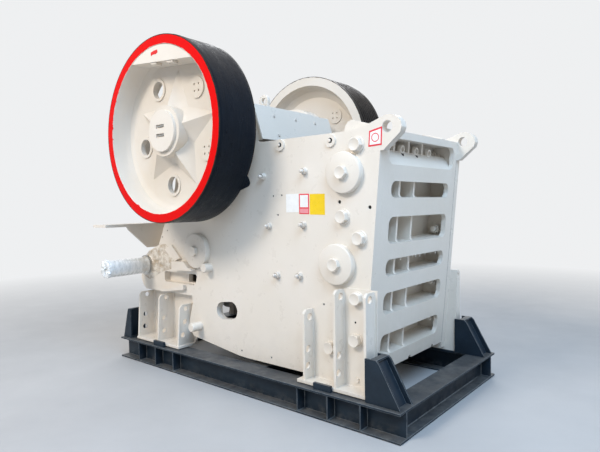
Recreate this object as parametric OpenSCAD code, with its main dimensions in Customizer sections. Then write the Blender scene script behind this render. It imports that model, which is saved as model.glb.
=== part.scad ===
// Single toggle jaw crusher with plate frame on its steel skid.
// X runs from the toggle end to the front wall, Y across the machine, Z up.
// The origin lies on the floor under the middle of the skid. Millimetres.

/* [Skid] */
// Length of the skid over the end beams
skid_length = 3200; // [2800:10:3600]
// Width of the skid over the flanges
skid_width = 1670; // [1400:10:2000]
// Height of the skid beams
beam_height = 200; // [150:5:300]
// Flange width of the skid beams
flange_width = 180; // [120:5:260]
// Flange thickness of the skid beams
flange_thick = 15; // [8:1:25]
// Web thickness of the skid beams
web_thick = 10; // [6:1:20]
// Thickness of the web stiffeners
stiffener_thick = 10; // [6:1:20]
// Pitch of the web stiffeners
stiffener_pitch = 273; // [200:1:400]
// Middle stiffener of the front group along X
stiffener_front = 1026; // [900:1:1100]
// Middle stiffener of the rear group along X
stiffener_rear = -1009; // [-1100:1:-900]
// Web of the cross beam along X
cross_beam_x = 181; // [100:1:300]
// Height of the stops above the skid
stop_rise = 297; // [200:1:400]
// Plate thickness of the stops
stop_plate = 14; // [8:1:25]
// Thickness of the rubber pads under the feet
rubber_thick = 8; // [4:1:15]

/* [Frame] */
// Half width over the side plates
frame_half = 651.5; // [600:0.5:720]
// Thickness of the side plates
side_thick = 65; // [40:1:90]
// Height of the straight top edge of the side plates
side_top = 2022; // [1900:1:2100]
// Front wall plane at floor height along X
wall_foot_x = 1195.2; // [1100:0.1:1300]
// Lean of the front wall, run over rise
wall_lean = 0.0901; // [0:0.0001:0.2]
// Depth of the front wall casting
wall_depth = 260; // [200:5:320]
// Thickness of the back plate of the front wall
wall_back = 60; // [40:5:90]
// Lower edge of the front wall
wall_low = 290; // [250:1:350]
// Upper edge of the front wall
wall_high = 2018; // [1900:1:2100]
// Thickness of the skin of the front wall
wall_skin = 38; // [25:1:60]
// Distance of the wall slots from the side plates
slot_margin = 116.5; // [90:0.5:160]
// Distance of the top slot from the side plates
top_slot_margin = 59.5; // [40:0.5:90]
// Corner radius of the wall slots
slot_corner = 55; // [20:1:75]
// Thickness of the upright ribs in the slots
slot_rib = 24; // [15:1:40]
// Setback of the upright ribs behind the wall plane
slot_rib_back = 30; // [20:1:36]
// Setback of the upright ribs in the top slot
top_rib_back = 95; // [70:1:120]
// Radius of the lifting lug holes
lug_hole_r = 40; // [25:1:55]
// Radius of the front cover discs
disc_r = 146; // [100:1:180]
// Radius of the rear cover discs
rear_disc_r = 157; // [100:1:180]
// Thickness of the cover discs
disc_thick = 45; // [20:1:60]
// Radius of the small holes in the side plates
small_hole_r = 8; // [5:0.5:12]
// Radius of the two larger plain holes in the side plates
plain_hole_r = 13; // [8:0.5:16]

/* [Feet] */
// Thickness of the front foot plates
foot_plate = 12; // [8:1:30]
// Thickness of the rear foot plates
rear_foot_plate = 25; // [15:1:35]
// Thickness of the foot gussets
gusset_thick = 20; // [12:1:30]
// Reach of the front gussets, from the side plate
gusset_reach = 120; // [90:1:130]
// Reach of the rear gussets at the bottom, from the rear foot plate
rear_reach = 191; // [165:1:200]
// Reach of the rear gussets at the top, from the rear foot plate
rear_reach_top = 163; // [140:1:185]
// Corner cut of the gussets
gusset_cut = 26; // [10:1:35]
// Thickness of the foot pads
pad_thick = 22; // [15:1:35]
// Radius of the holes in the front gussets
gusset_hole_r = 28; // [8:0.5:30]
// Radius of the holes in the rear gussets
rear_hole_r = 24; // [8:0.5:26]

/* [Flywheels] */
// Shaft axis along X
shaft_x = -428; // [-500:1:-350]
// Shaft axis height
shaft_z = 2140; // [2000:1:2300]
// Outer radius of the flywheels
wheel_r = 756; // [700:1:800]
// Inner radius of the rim at the outer face
rim_inner_r = 681; // [620:1:700]
// Inner face of the flywheels, from the middle plane
wheel_in = 765; // [740:1:800]
// Outer face of the flywheels, from the middle plane
wheel_out = 1140; // [1000:1:1200]
// Inner side of the wheel web, from the middle plane
web_in = 920; // [900:1:940]
// Outer side of the wheel web, from the middle plane
web_out = 955; // [945:1:975]
// Radius of the hub collar
hub_r = 208; // [180:1:240]
// Outer end of the hub, from the middle plane
hub_out = 1080; // [1050:1:1110]
// Radius of the circle of holes and bosses in the web
feature_r = 442; // [400:1:480]
// Radius of the open holes in the web
web_hole_r = 72; // [50:1:90]
// Radius at which the points of the hub star end on the web
star_tip = 515; // [480:1:540]
// Fall of the ridges of the star toward the rim, in degrees
star_fall = 17.5; // [12:0.5:19]
// Angle between a ridge of the star and the foot of its flank
star_spread = 26.5; // [20:0.5:32]
// Distance of the counterweight chord from the shaft axis
chord_dist = 546; // [500:1:600]
// Direction of the counterweight, from the top toward the front
chord_angle = 6; // [0:1:15]
// Depth of the belt grooves in the far rim
groove_depth = 22; // [10:1:30]
// Pitch of the belt grooves
groove_pitch = 38; // [25:1:50]

/* [Shaft and pitman] */
// Radius of the main journals
journal_r = 140; // [120:1:160]
// Radius of the eccentric part
eccentric_r = 170; // [160:1:200]
// Throw of the eccentric
throw = 17.5; // [5:0.5:20]
// Radial running clearance of the journals
running_fit = 0.05; // [0.01:0.01:0.1]
// Clearance of curved faces between fixed pieces
curve_fit = 0.3; // [0.2:0.05:0.5]
// Radius of the bearing housings
housing_r = 380; // [340:1:400]
// Radius of the pitman barrel
barrel_r = 335; // [300:1:350]
// Side clearance of the pitman at the bearing housings
pitman_side = 26.5; // [15:0.5:40]
// Jaw plane at its upper point along X
jaw_top_x = 196; // [150:1:250]
// Height of that upper point
jaw_top_z = 2061; // [2000:1:2100]
// Lean of the moving jaw, run over rise
jaw_lean = 0.34; // [0.2:0.01:0.45]
// Thickness of the jaw dies over the teeth
die_thick = 90; // [60:1:120]
// Depth of the die teeth
tooth_depth = 32; // [15:1:50]
// Lower end of the jaw dies
die_low = 480; // [450:1:550]
// Side clearance of the jaw dies at the cheek plates
die_side = 11.5; // [6:0.5:30]
// Thickness of the cheek plates
cheek_thick = 50; // [30:1:60]
// Free gap left at the moving pivots
pivot_gap = 23; // [22:1:30]

/* [Rear] */
// Axis of the adjusting cylinders along X
cylinder_x = -1350; // [-1450:1:-1250]
// Axis height of the adjusting cylinders
cylinder_z = 937; // [850:1:1000]
// Radius of the adjusting cylinders
cylinder_r = 75; // [50:1:95]
// Outer end of the adjusting cylinders, from the middle plane
cylinder_out = 1100; // [1000:1:1200]
// Upper face of the motor shelf
shelf_top = 1355; // [1250:1:1450]
// Thickness of the motor shelf
shelf_thick = 27; // [15:1:40]
// Half width of the motor shelf
shelf_half = 1104; // [900:1:1200]
// Front edge of the motor shelf along X
shelf_x = -1350; // [-1400:1:-1300]
// Depth of the motor shelf
shelf_depth = 230; // [150:1:240]
// Radius of the tension rod
rod_r = 28; // [15:1:40]

/* [Display] */
// Sub-part to build, or all of them

/* [Hidden] */
skid_half = skid_length / 2;
side_in = frame_half - side_thick;
beam_y = skid_width / 2 - flange_width / 2;
end_beam_x = skid_half - flange_width / 2;
flange_tip = skid_width / 2 - flange_width;
wall_angle = atan(wall_lean);
wall_cos = cos(wall_angle);
jaw_angle = atan(jaw_lean);
jaw_cos = cos(jaw_angle);
foot_out = frame_half + foot_plate;
pitman_wall = die_thick / jaw_cos + 75;
pad_low = beam_height + rubber_thick;
pad_high = pad_low + pad_thick;
ecc_x = shaft_x - throw * sin(chord_angle);
ecc_z = shaft_z - throw * cos(chord_angle);
knuckle_r = 40;
rod_z = 520;
seat_r = 125;
hub_in = 775;
housing_out = 742;
housing_in = side_in - cheek_thick;
pitman_half = housing_in - pitman_side;
die_half = housing_in - die_side;
toggle_half = housing_in - 56.5;
pocket_width = (2 * pitman_half - 150) / 3;
slot_half = side_in - slot_margin;
top_slot_half = side_in - top_slot_margin;
hollow_half = side_in - 30;
crest_back = wall_x(wall_high) - wall_depth * wall_cos;
wall_half = side_in - 0.05;
guard_half = side_in - 36.5;
guard_far = guard_half - 214;
guard_thick = 20;
guard_high = 318;
eye_x = -305;
eye_z = 2516;
eye_half = 18;
rear_wall = 46;
stop_out = 805;
stop_in = 649;
block_high = 46;
heel_high = 250;
apron_rise = 106;
apron_toe = 15;
apron_back = 100;
fixed_face = wall_depth + die_thick;
eps = 1;

// Foot pads along X
front_pad = [712, 1316];
rear_pad = [-1382, -712];

cream = [0.93, 0.91, 0.87];
slate = [0.17, 0.20, 0.22];
bare = [0.55, 0.55, 0.54];
red = [0.85, 0.05, 0.04];
black = [0.05, 0.05, 0.06];

// Wall slots: lower height, upper height, half width
slots = [
    [400, 563, slot_half], [713, 872, slot_half], [992, 1115, slot_half],
    [1227, 1419, slot_half], [1555, 1671, slot_half], [1785, 1966, top_slot_half]];
slot_rib_y = [-300, -80];
top_rib_y = [-305, -85, 135];

// Rear edge of the side plate above and below the window
edge_top = [
    [-1161, 1147], [-1000, 1185], [-892, 1179], [-806, 1120], [-699, 1040], [-653, 974],
    [-607, 924], [-596, 892]];
edge_low = [[-633, 789], [-650, 776], [-663, 736], [-660, 690]];

// Top of the rear casting behind that edge
crown = [[-1216, 1123], [-1334, 1078], [-1391, 1029], [-1422, 1001], [-1450, 930],
    [-1484, 800], [-1446, 730], [-1400, 690]];

// Side plate outline in X and Z, without the bearing seat
side_outline = concat([
    [58, 234], [wall_x(234), 234], [wall_x(1869), 1869], [1388, 1869], [1452, 1924],
    [1512, 1975], [1525, 2010], [1518, 2045], [1498, 2071], [1474, 2088], [1442, 2098],
    [1402, 2098], [1263, 2049], [1180, 2030], [1087, side_top], [289, side_top],
    [-20, 2060], [-20, 2160], [-836, 2160], [-836, 1960], [-874, 1700], [-1062, 1338]],
    edge_top, [[-586, 865], [-606, 810]], edge_low,
    [[-656, 621], [-721, 407], [-651, 317], [-42, 238]]);

// Rear casting outline beside the side plates, round its window
shell_outline = concat(edge_top, [[-1062, 892], [-1080, 878], [-1080, 806], [-1060, 789]],
    edge_low, [for (k = [7:-1:0]) crown[k]]);

// Rear casting outline between the side plates
core_outline = concat([
    [-340, 850], [-340, 1090], [-420, 1150], [-591, 1110], [-735, 1107], [-806, 1120],
    [-892, 1179], [-1000, 1185], [-1161, 1147]], crown, [[-700, 690], [-500, 750]]);

cover_spots = [[1082, 1735, disc_r], [1009, 1087, disc_r], [-552, 1113, rear_disc_r]];
hex_spots = [[1181, 1922], [1058, 1426], [1197, 1276]];
foot_hex_spots = [[1176, 858], [1165, 564], [946, 479]];
foot_hole_spots = [[884, 785], [1158, 687]];

// Pins in the side plates: X, Z and length
pin_spots = [[-398, 970, 80], [-552, 425, 112]];
stud_spots = [[285, 1746], [712, 1765], [341, 1352], [694, 1366], [422, 964], [650, 977]];
socket_spots = [[473, 1979], [958, 1969]];
small_spots = [
    [388, 1588, small_hole_r], [478, 1592, small_hole_r], [435, 1439, small_hole_r],
    [1028, 1531, plain_hole_r], [1279, 1491, plain_hole_r], [-10, 287, small_hole_r],
    [335, 288, small_hole_r], [-1017, 1289, small_hole_r], [-1100, 1224, small_hole_r]];

function wall_x(z) = wall_foot_x + wall_lean * z;
function wall_crest(x) = wall_high - wall_lean * (x - wall_x(wall_high));
function jaw_x(z) = jaw_top_x - jaw_lean * (z - jaw_top_z);

// Outline in X and Z, filled between two Y values
module across(y0, y1) {
    translate([0, y1, 0]) rotate([90, 0, 0]) linear_extrude(y1 - y0) children();
}

// Outline in Y and Z, filled between two X values
module along(x0, x1) {
    translate([x0, 0, 0]) rotate([90, 0, 90]) linear_extrude(x1 - x0) children();
}

// Round bar along Y through the point x, z
module bar_y(x, z, r, y0, y1) {
    translate([x, y1, z]) rotate([90, 0, 0]) cylinder(h = y1 - y0, r = r, $fn = 96);
}

// Round bar along X through the point y, z
module bar_x(y, z, r, x0, x1) {
    translate([x0, y, z]) rotate([0, 90, 0]) cylinder(h = x1 - x0, r = r, $fn = 64);
}

// Six sided head along Y, standing out toward -Y
module hex_y(x, z, r, y0, y1) {
    translate([x, y1, z]) rotate([90, 0, 0]) cylinder(h = y1 - y0, r = r, $fn = 6);
}

module far_side() {
    mirror([0, 1, 0]) children();
}

// Frame of the front wall: X is out of the wall, Z up along it
module on_wall() {
    translate([wall_foot_x, 0, 0]) rotate([0, wall_angle, 0]) children();
}

// Frame of the moving jaw plane: X is out of it, Z up along it
module on_jaw() {
    translate([jaw_top_x, 0, jaw_top_z]) rotate([0, -jaw_angle, 0]) children();
}

module beam_section() {
    inner = beam_height - 2 * flange_thick;
    translate([-flange_width / 2, 0]) square([flange_width, flange_thick]);
    translate([-web_thick / 2, flange_thick - eps]) square([web_thick, inner + 2 * eps]);
    translate([-flange_width / 2, beam_height - flange_thick])
        square([flange_width, flange_thick]);
}

module skid_beam() {
    inner = beam_height - 2 * flange_thick;
    reach = flange_width / 2;
    translate([0, -beam_y, 0]) along(-skid_half, skid_half) beam_section();
    for (group = [stiffener_front, stiffener_rear])
        for (k = [-1, 0, 1])
            translate([group + k * stiffener_pitch - stiffener_thick / 2,
                -beam_y - reach, flange_thick - eps])
                cube([stiffener_thick, reach, inner + 2 * eps]);
}

module skid_beam_near() color(slate) skid_beam();

module skid_beam_far() color(slate) far_side() skid_beam();

module cross_member(x) {
    inner = beam_height - 2 * flange_thick;
    half = beam_y - web_thick / 2;
    for (z = [0, beam_height - flange_thick])
        translate([x - flange_width / 2, -flange_tip, z])
            cube([flange_width, 2 * flange_tip, flange_thick]);
    translate([x - web_thick / 2, -half, flange_thick])
        cube([web_thick, 2 * half, inner]);
    translate([x - web_thick / 2, -flange_tip, flange_thick - eps])
        cube([web_thick, 2 * flange_tip, inner + 2 * eps]);
}

module skid_end_front() color(slate) cross_member(end_beam_x);

module skid_end_rear() color(slate) cross_member(-end_beam_x);

module skid_cross_beam() color(slate) cross_member(cross_beam_x);

// Braced stop between two plates, standing on the skid
module stop(face, roof, brace) {
    across(-stop_out, -stop_out + stop_plate) polygon(face);
    across(-stop_in, -stop_in + stop_plate) polygon(face);
    for (outline = [roof, brace])
        across(-stop_out + stop_plate - eps, -stop_in + eps) polygon(outline);
}

module stop_front() {
    top = beam_height + stop_rise;
    stop([[1321, beam_height], [1321, top], [1409, top], [1429, top - 18],
        [1586, beam_height]],
        [[1358, top - stop_plate], [1358, top], [1409, top], [1409, top - stop_plate]],
        [[1373, top - stop_plate + eps], [1387, top - stop_plate + eps],
            [1543, beam_height], [1523, beam_height]]);
}

module skid_stops_front() color(slate) {
    stop_front();
    far_side() stop_front();
}

module stop_rear() {
    top = beam_height + stop_rise;
    stop([[-1464, beam_height], [-1464, top], [-1500, top], [-1512, top - 18],
        [-1594, beam_height]],
        [[-1466, top - stop_plate], [-1466, top], [-1500, top], [-1500, top - stop_plate]],
        [[-1474, top - stop_plate + eps], [-1488, top - stop_plate + eps],
            [-1560, beam_height], [-1544, beam_height]]);
}

module skid_stops_rear() color(slate) {
    stop_rear();
    far_side() stop_rear();
}

// Locating bar on the skid in front of a foot pad, from x0 to x1
module foot_block(x0, x1, out) {
    translate([x0, -out, beam_height]) cube([x1 - x0, 24, block_high]);
}

module rubber_pad(x0, x1) {
    translate([x0 + 12, -frame_half - gusset_reach + 14, beam_height])
        cube([x1 - x0 - 24, gusset_reach - 16, rubber_thick]);
}

module blocks_near() {
    foot_block(884, 1038, 808);
    foot_block(-1061, -902, 816);
    for (pad = [front_pad, rear_pad]) rubber_pad(pad[0], pad[1]);
}

module skid_blocks() color(black) {
    blocks_near();
    far_side() blocks_near();
}

// Side plate with lug, window, sockets and bearing seat
module side_plate() {
    difference() {
        union() {
            across(-frame_half, -side_in) polygon(side_outline);
            across(-side_in - eps, -side_in + 66)
                polygon([[1031, 2030], [1040, 2070], [1062, 2098], [1095, 2109],
                    [1263, 2058], [1263, wall_crest(1263) + 0.2],
                    [crest_back - 0.2, wall_crest(crest_back) + 0.2],
                    [crest_back - 0.2 - wall_lean * (wall_crest(crest_back) - 2030), 2030]]);
            for (s = socket_spots)
                bar_y(s[0], s[1], 45, -frame_half - 14, -frame_half + eps);
        }
        bar_y(shaft_x, shaft_z, housing_r + curve_fit, -frame_half - eps, -side_in + eps);
        bar_y(1418, 2021, lug_hole_r, -frame_half - eps, -side_in + eps);
        translate([-187, 0, 607]) rotate([0, -7, 0]) {
            translate([-56, -frame_half - eps, -76])
                cube([112, side_thick + 2 * eps, 152]);
            for (k = [-56, 56])
                translate([k, -side_in + eps, 0]) rotate([90, 0, 0])
                    cylinder(h = side_thick + 2 * eps, r = 76, $fn = 64);
        }
        for (s = socket_spots)
            bar_y(s[0], s[1], 16, -frame_half - 15, -frame_half + 30);
        for (s = small_spots)
            bar_y(s[0], s[1], s[2], -frame_half - eps, -frame_half + 30);
    }
}

module side_plate_near() color(cream) side_plate();

module side_plate_far() color(cream) far_side() side_plate();

// Rounded opening through the wall skin and the wider hollow behind it
module wall_slot(s) {
    low = s[0] / wall_cos;
    high = s[1] / wall_cos;
    half = s[2];
    deep = wall_skin + 2 * eps;
    translate([-wall_skin - eps, -half + slot_corner, low])
        cube([deep, 2 * (half - slot_corner), high - low]);
    translate([-wall_skin - eps, -half, low + slot_corner])
        cube([deep, 2 * half, high - low - 2 * slot_corner]);
    for (y = [-half + slot_corner, half - slot_corner])
        for (z = [low + slot_corner, high - slot_corner])
            translate([-wall_skin - eps, y, z]) rotate([0, 90, 0])
                cylinder(h = deep, r = slot_corner, $fn = 48);
    translate([-wall_depth + wall_back, -hollow_half, low])
        cube([wall_depth - wall_back - wall_skin, 2 * hollow_half, high - low]);
}

// Upright rib, set back above and curving forward to the toe at its foot
module wall_rib(bottom, top, y, set, toe) {
    low = bottom / wall_cos;
    high = top / wall_cos;
    back = wall_depth - wall_back + eps;
    curve = set - toe;
    difference() {
        translate([-back, y - slot_rib / 2, low - eps])
            cube([back - toe, slot_rib, high - low + 2 * eps]);
        translate([-toe, y - slot_rib, low + curve]) rotate([-90, 0, 0])
            cylinder(h = 2 * slot_rib, r = curve, $fn = 48);
        translate([-set, y - slot_rib, low + curve])
            cube([set, 2 * slot_rib, high - low]);
    }
}

// Sloping apron in the bottom of the top slot
module apron(s) {
    low = s[0] / wall_cos - eps;
    back = wall_depth - wall_back + eps;
    across(-hollow_half - eps, hollow_half + eps)
        polygon([[-back, low], [-apron_toe, low], [-apron_back, low + apron_rise],
            [-back, low + apron_rise]]);
}

module front_frame() color(cream) on_wall() {
    low = wall_low / wall_cos;
    high = wall_high / wall_cos;
    last = len(slots) - 1;
    difference() {
        translate([-wall_depth, -wall_half, low])
            cube([wall_depth, 2 * wall_half, high - low]);
        for (s = slots) wall_slot(s);
        for (y = [-400, 0, 400])
            translate([-wall_depth - eps, y, low]) rotate([0, 90, 0])
                cylinder(h = wall_depth + 2 * eps, r = 22, $fn = 32);
    }
    for (k = [0:last - 1], y = slot_rib_y)
        wall_rib(slots[k][0], slots[k][1], y, slot_rib_back, 3);
    apron(slots[last]);
    for (y = top_rib_y)
        wall_rib(slots[last][0] + 37, slots[last][1], y, top_rib_back, top_rib_back - 50);
}

// Rear casting: outer end plate with its bars, and the end wall behind it
module rear_end() {
    difference() {
        across(-frame_half, -side_in) polygon(shell_outline);
        bar_y(-1321, 1011, 12, -frame_half - eps, -frame_half + 30);
    }
    difference() {
        across(-side_in, -side_in + rear_wall) polygon(core_outline);
        across(-side_in - eps, -side_in + rear_wall + eps)
            polygon([[-600, 800], [-785, 800], [-785, 880], [-600, 880]]);
    }
    across(-frame_half - 64, -frame_half)
        polygon([[-880, 1001], [-705, 1012], [-668, 985], [-640, 955], [-592, 945],
            [-592, 930], [-882, 921]]);
    across(-frame_half - 38, -frame_half)
        polygon([[-1110, 700], [-1098, 712], [-746, 784], [-740, 762], [-748, 741],
            [-1080, 694]]);
    across(-frame_half - 24, -frame_half)
        polygon([[-1038, 1105], [-933, 1154], [-798, 1035], [-878, 1005]]);
}

module rear_frame() color(cream) {
    rear_end();
    far_side() rear_end();
    difference() {
        across(-side_in, side_in) polygon(core_outline);
        across(-side_in - eps, side_in + eps)
            polygon([[-420, 860], [-420, 1085], [-591, 1050], [-735, 1050], [-880, 1105],
                [-1000, 1122], [-1000, 745], [-700, 745], [-520, 800]]);
        across(-side_in - eps, side_in + eps)
            polygon([[-1060, 745], [-1060, 1112], [-1150, 1092], [-1210, 1060],
                [-1310, 1030], [-1355, 990], [-1390, 930], [-1424, 800], [-1400, 750],
                [-1380, 745]]);
        bar_y(-322, 905, knuckle_r + curve_fit, -toggle_half - 20, toggle_half + 20);
    }
    difference() {
        across(-160, 160) polygon([[-700, 690 + eps], [-640, 709 + eps], [-640, 430],
            [-700, 430]]);
        bar_x(0, rod_z + throw, rod_r + throw + 6, -701, -639);
    }
}

module motor_bracket() color(cream) {
    low = shelf_top - shelf_thick;
    translate([shelf_x - shelf_depth, -shelf_half, low])
        cube([shelf_depth, 2 * shelf_half, shelf_thick]);
    along(shelf_x - 20, shelf_x)
        polygon([[-880, low + eps], [-862, 1297], [-655, 1112], [655, 1112], [862, 1297],
            [880, low + eps]]);
    for (y = [-420, 400])
        across(y, y + 20)
            polygon([[-1000, 1185], [-1161, 1147], [-1216, 1123], [-1334, 1078],
                [-1391, 1029], [-1391, 1100], [-1560, low], [-1560, low + eps],
                [-1100, low + eps], [-1000, 1220]]);
}

// Foot gusset across X, its front side at x, standing out from a plate face;
// each hole is [distance out from the face, height]
module foot_gusset(x, face, reach, reach_top, low, top, holes, r) {
    difference() {
        along(x - gusset_thick, x)
            polygon([[-face + eps, low], [-face - reach, low],
                [-face - reach_top, top - gusset_cut],
                [-face - reach_top + gusset_cut, top], [-face + eps, top]]);
        for (h = holes) bar_x(-face - h[0], h[1], r, x - gusset_thick - eps, x + eps);
    }
}

module front_gusset(x, top, holes) {
    reach = gusset_reach - foot_plate;
    foot_gusset(x, foot_out, reach, reach, pad_low, top, holes, gusset_hole_r);
}

module rear_gusset(x, low, top, holes) {
    foot_gusset(x, side_in, rear_reach, rear_reach_top, low, top, holes, rear_hole_r);
}

module foot_front() {
    difference() {
        across(-foot_out, -frame_half)
            polygon([[764, pad_low], [764, 724], [788, 740], [985, 875], [1041, 911],
                [1090, 925], [1340, 925], [1330, 518], [1316, pad_low]]);
        for (s = foot_hole_spots)
            bar_y(s[0], s[1], small_hole_r, -foot_out - eps, -frame_half + eps);
    }
    front_gusset(784, 745, [[40.5, 687], [65.5, 454], [72.5, 331]]);
    front_gusset(1063, 917, [[38.5, 866], [65.5, 453], [73.5, 331]]);
    front_gusset(1314, 917, [[55.5, 872]]);
    translate([front_pad[0], -frame_half - gusset_reach - 8, pad_low])
        cube([front_pad[1] - front_pad[0], gusset_reach + 8, pad_thick]);
}

module foot_front_near() color(cream) foot_front();

module foot_front_far() color(cream) far_side() foot_front();

module foot_rear() {
    across(-side_in, -side_in + rear_foot_plate)
        polygon([[-1382, pad_low], [-1382, 690], [-640, 690], [-640, 330], [-712, heel_high],
            [-712, pad_low]]);
    rear_gusset(-1362, pad_low, 672, [[78.5, 638], [106.5, 441], [115.5, 318]]);
    rear_gusset(-1035, pad_low, 672, [[82.5, 640], [114.5, 443], [115.5, 318]]);
    rear_gusset(-723, pad_low, 605, [[92.5, 565], [105.5, 444], [133.5, 325]]);
    translate([rear_pad[0], -side_in - rear_reach - 8, pad_low])
        cube([rear_pad[1] - rear_pad[0], rear_reach + 8 + rear_foot_plate, pad_thick]);
}

module foot_rear_near() color(cream) foot_rear();

module foot_rear_far() color(cream) far_side() foot_rear();

module covers() {
    for (c = cover_spots) {
        bar_y(c[0], c[1], c[2], -frame_half - disc_thick, -frame_half);
        hex_y(c[0], c[1], 50, -frame_half - disc_thick - 34, -frame_half - disc_thick + eps);
    }
}

module cover_discs() color(cream) {
    covers();
    far_side() covers();
}

module bolts() {
    for (s = hex_spots) {
        bar_y(s[0], s[1], 58, -frame_half - 8, -frame_half);
        hex_y(s[0], s[1], 50, -frame_half - 44, -frame_half - 8 + eps);
    }
    for (s = foot_hex_spots) {
        bar_y(s[0], s[1], 52, -foot_out - 8, -foot_out);
        hex_y(s[0], s[1], 46, -foot_out - 44, -foot_out - 8 + eps);
    }
    for (s = pin_spots) bar_y(s[0], s[1], 40, -frame_half - s[2], -frame_half);
}

module frame_bolts_near() color(cream) bolts();

module frame_bolts_far() color(cream) far_side() bolts();

module studs() {
    for (s = stud_spots) {
        bar_y(s[0], s[1], 30, -frame_half - 6, -frame_half);
        hex_y(s[0], s[1], 27, -frame_half - 30, -frame_half - 6 + eps);
        bar_y(s[0], s[1], 13, -frame_half - 58, -frame_half - 30 + eps);
    }
}

module liner_studs() color(bare) {
    studs();
    far_side() studs();
}

module housing() {
    difference() {
        union() {
            bar_y(shaft_x, shaft_z, housing_r, -housing_out + 40, -housing_in);
            bar_y(shaft_x, shaft_z, housing_r - 60, -housing_out, -housing_out + 40 + eps);
        }
        bar_y(shaft_x, shaft_z, journal_r + running_fit, -housing_out - eps,
            -housing_in + eps);
    }
}

module bearing_housing_near() color(cream) housing();

module bearing_housing_far() color(cream) far_side() housing();

module eccentric_shaft() color(bare) {
    bar_y(shaft_x, shaft_z, seat_r, -hub_out + 2, hub_out - 2);
    bar_y(shaft_x, shaft_z, journal_r, -hub_in, hub_in);
    bar_y(ecc_x, ecc_z, eccentric_r, -pitman_half - 8, pitman_half + 8);
}

// Wheel axis frame: X to the front, Y up, Z outward from the middle plane
module on_wheel() {
    translate([shaft_x, 0, shaft_z]) rotate([90, 0, 0]) children();
}

function spot(angle) = [feature_r * sin(angle), feature_r * cos(angle), 0];

// Boss with four small holes on the web, from z0 to z1
module web_boss(angle, z0, z1) {
    translate(spot(angle)) difference() {
        translate([0, 0, z0]) cylinder(h = z1 - z0, r = 85, $fn = 64);
        for (b = [0:3])
            rotate([0, 0, 45 + 90 * b]) translate([38, 0, z0 - eps])
                cylinder(h = z1 - z0 + 2 * eps, r = 9, $fn = 24);
    }
}

// Wedge under one flank of a point of the hub star
module star_flank(side) {
    steep = tan(star_fall) / sin(star_spread);
    wide = star_tip - hub_r + 30;
    translate([0, star_tip, 0]) rotate([0, 0, side * star_spread])
        translate([0, 10, 0]) rotate([90, 0, 0]) linear_extrude(star_tip)
            polygon([[side * eps / steep, web_out - eps],
                [-side * wide, web_out - eps],
                [-side * wide, web_out + steep * wide]]);
}

// Point of the hub star: a ridge that falls to the web between two plane flanks
module star_point() {
    intersection() {
        star_flank(1);
        star_flank(-1);
        translate([-hub_r, hub_r - 48, web_out - 2 * eps])
            cube([2 * hub_r, star_tip, wheel_out - web_out]);
    }
}

module wheel_body(grooves) {
    seat = seat_r + curve_fit;
    pocket = wheel_in + 30;
    difference() {
        union() {
            rotate_extrude($fn = 128)
                polygon([[seat, hub_in], [hub_r, hub_in], [hub_r + 8, web_in],
                    [rim_inner_r - 121, web_in], [rim_inner_r - 61, web_in - 45],
                    [rim_inner_r - 31, web_in - 100], [rim_inner_r - 19, wheel_in],
                    [wheel_r, wheel_in], [wheel_r, wheel_out], [rim_inner_r, wheel_out],
                    [rim_inner_r - 6, web_out + 75], [rim_inner_r - 28, web_out + 24],
                    [rim_inner_r - 80, web_out], [hub_r + 4, web_out], [hub_r, hub_out],
                    [seat, hub_out]]);
            for (a = [-30, 186, 258])
                translate(spot(a)) translate([0, 0, web_out - eps])
                    cylinder(h = 12, r = web_hole_r + 22, $fn = 64);
            for (a = [42, 114]) {
                web_boss(a, web_out - eps, web_out + 12);
                web_boss(a, web_in - 10, web_in + eps);
            }
            for (k = [0:4]) rotate([0, 0, -chord_angle - 72 * k]) star_point();
        }
        for (a = [-30, 186, 258])
            translate(spot(a)) translate([0, 0, web_in - eps])
                cylinder(h = 200, r = web_hole_r, $fn = 64);
        segment(0);
        if (grooves)
            for (k = [0:7])
                rotate_extrude($fn = 128)
                    polygon([[wheel_r + eps, pocket + 12 + k * groove_pitch],
                        [wheel_r - groove_depth, pocket + 20 + k * groove_pitch],
                        [wheel_r - groove_depth, pocket + 30 + k * groove_pitch],
                        [wheel_r + eps, pocket + 38 + k * groove_pitch]]);
    }
}

module flywheel_near() color(red) on_wheel() wheel_body(false);

module flywheel_far() color(cream) far_side() on_wheel() wheel_body(true);

// Segment between the chord and the rim, with a gap to its curved seat
module segment(gap) {
    rotate([0, 0, -chord_angle]) difference() {
        translate([0, 0, web_out]) cylinder(h = wheel_out - 2 - web_out,
            r = rim_inner_r - 4 - gap, $fn = 128);
        translate([-wheel_r, -wheel_r, web_out - eps])
            cube([2 * wheel_r, wheel_r + chord_dist, wheel_out - web_out]);
    }
}

module counterweight_near() color(cream) on_wheel() segment(curve_fit);

module counterweight_far() color(cream) far_side() on_wheel() segment(curve_fit);

module cap() {
    difference() {
        translate([0, 0, hub_out]) cylinder(h = 25, r = 170, $fn = 96);
        for (y = [-52, 22])
            translate([-70, y, hub_out + 10]) cube([110, 30, 20]);
    }
}

module hub_cap_near() color(cream) on_wheel() cap();

module hub_cap_far() color(cream) far_side() on_wheel() cap();

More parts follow.
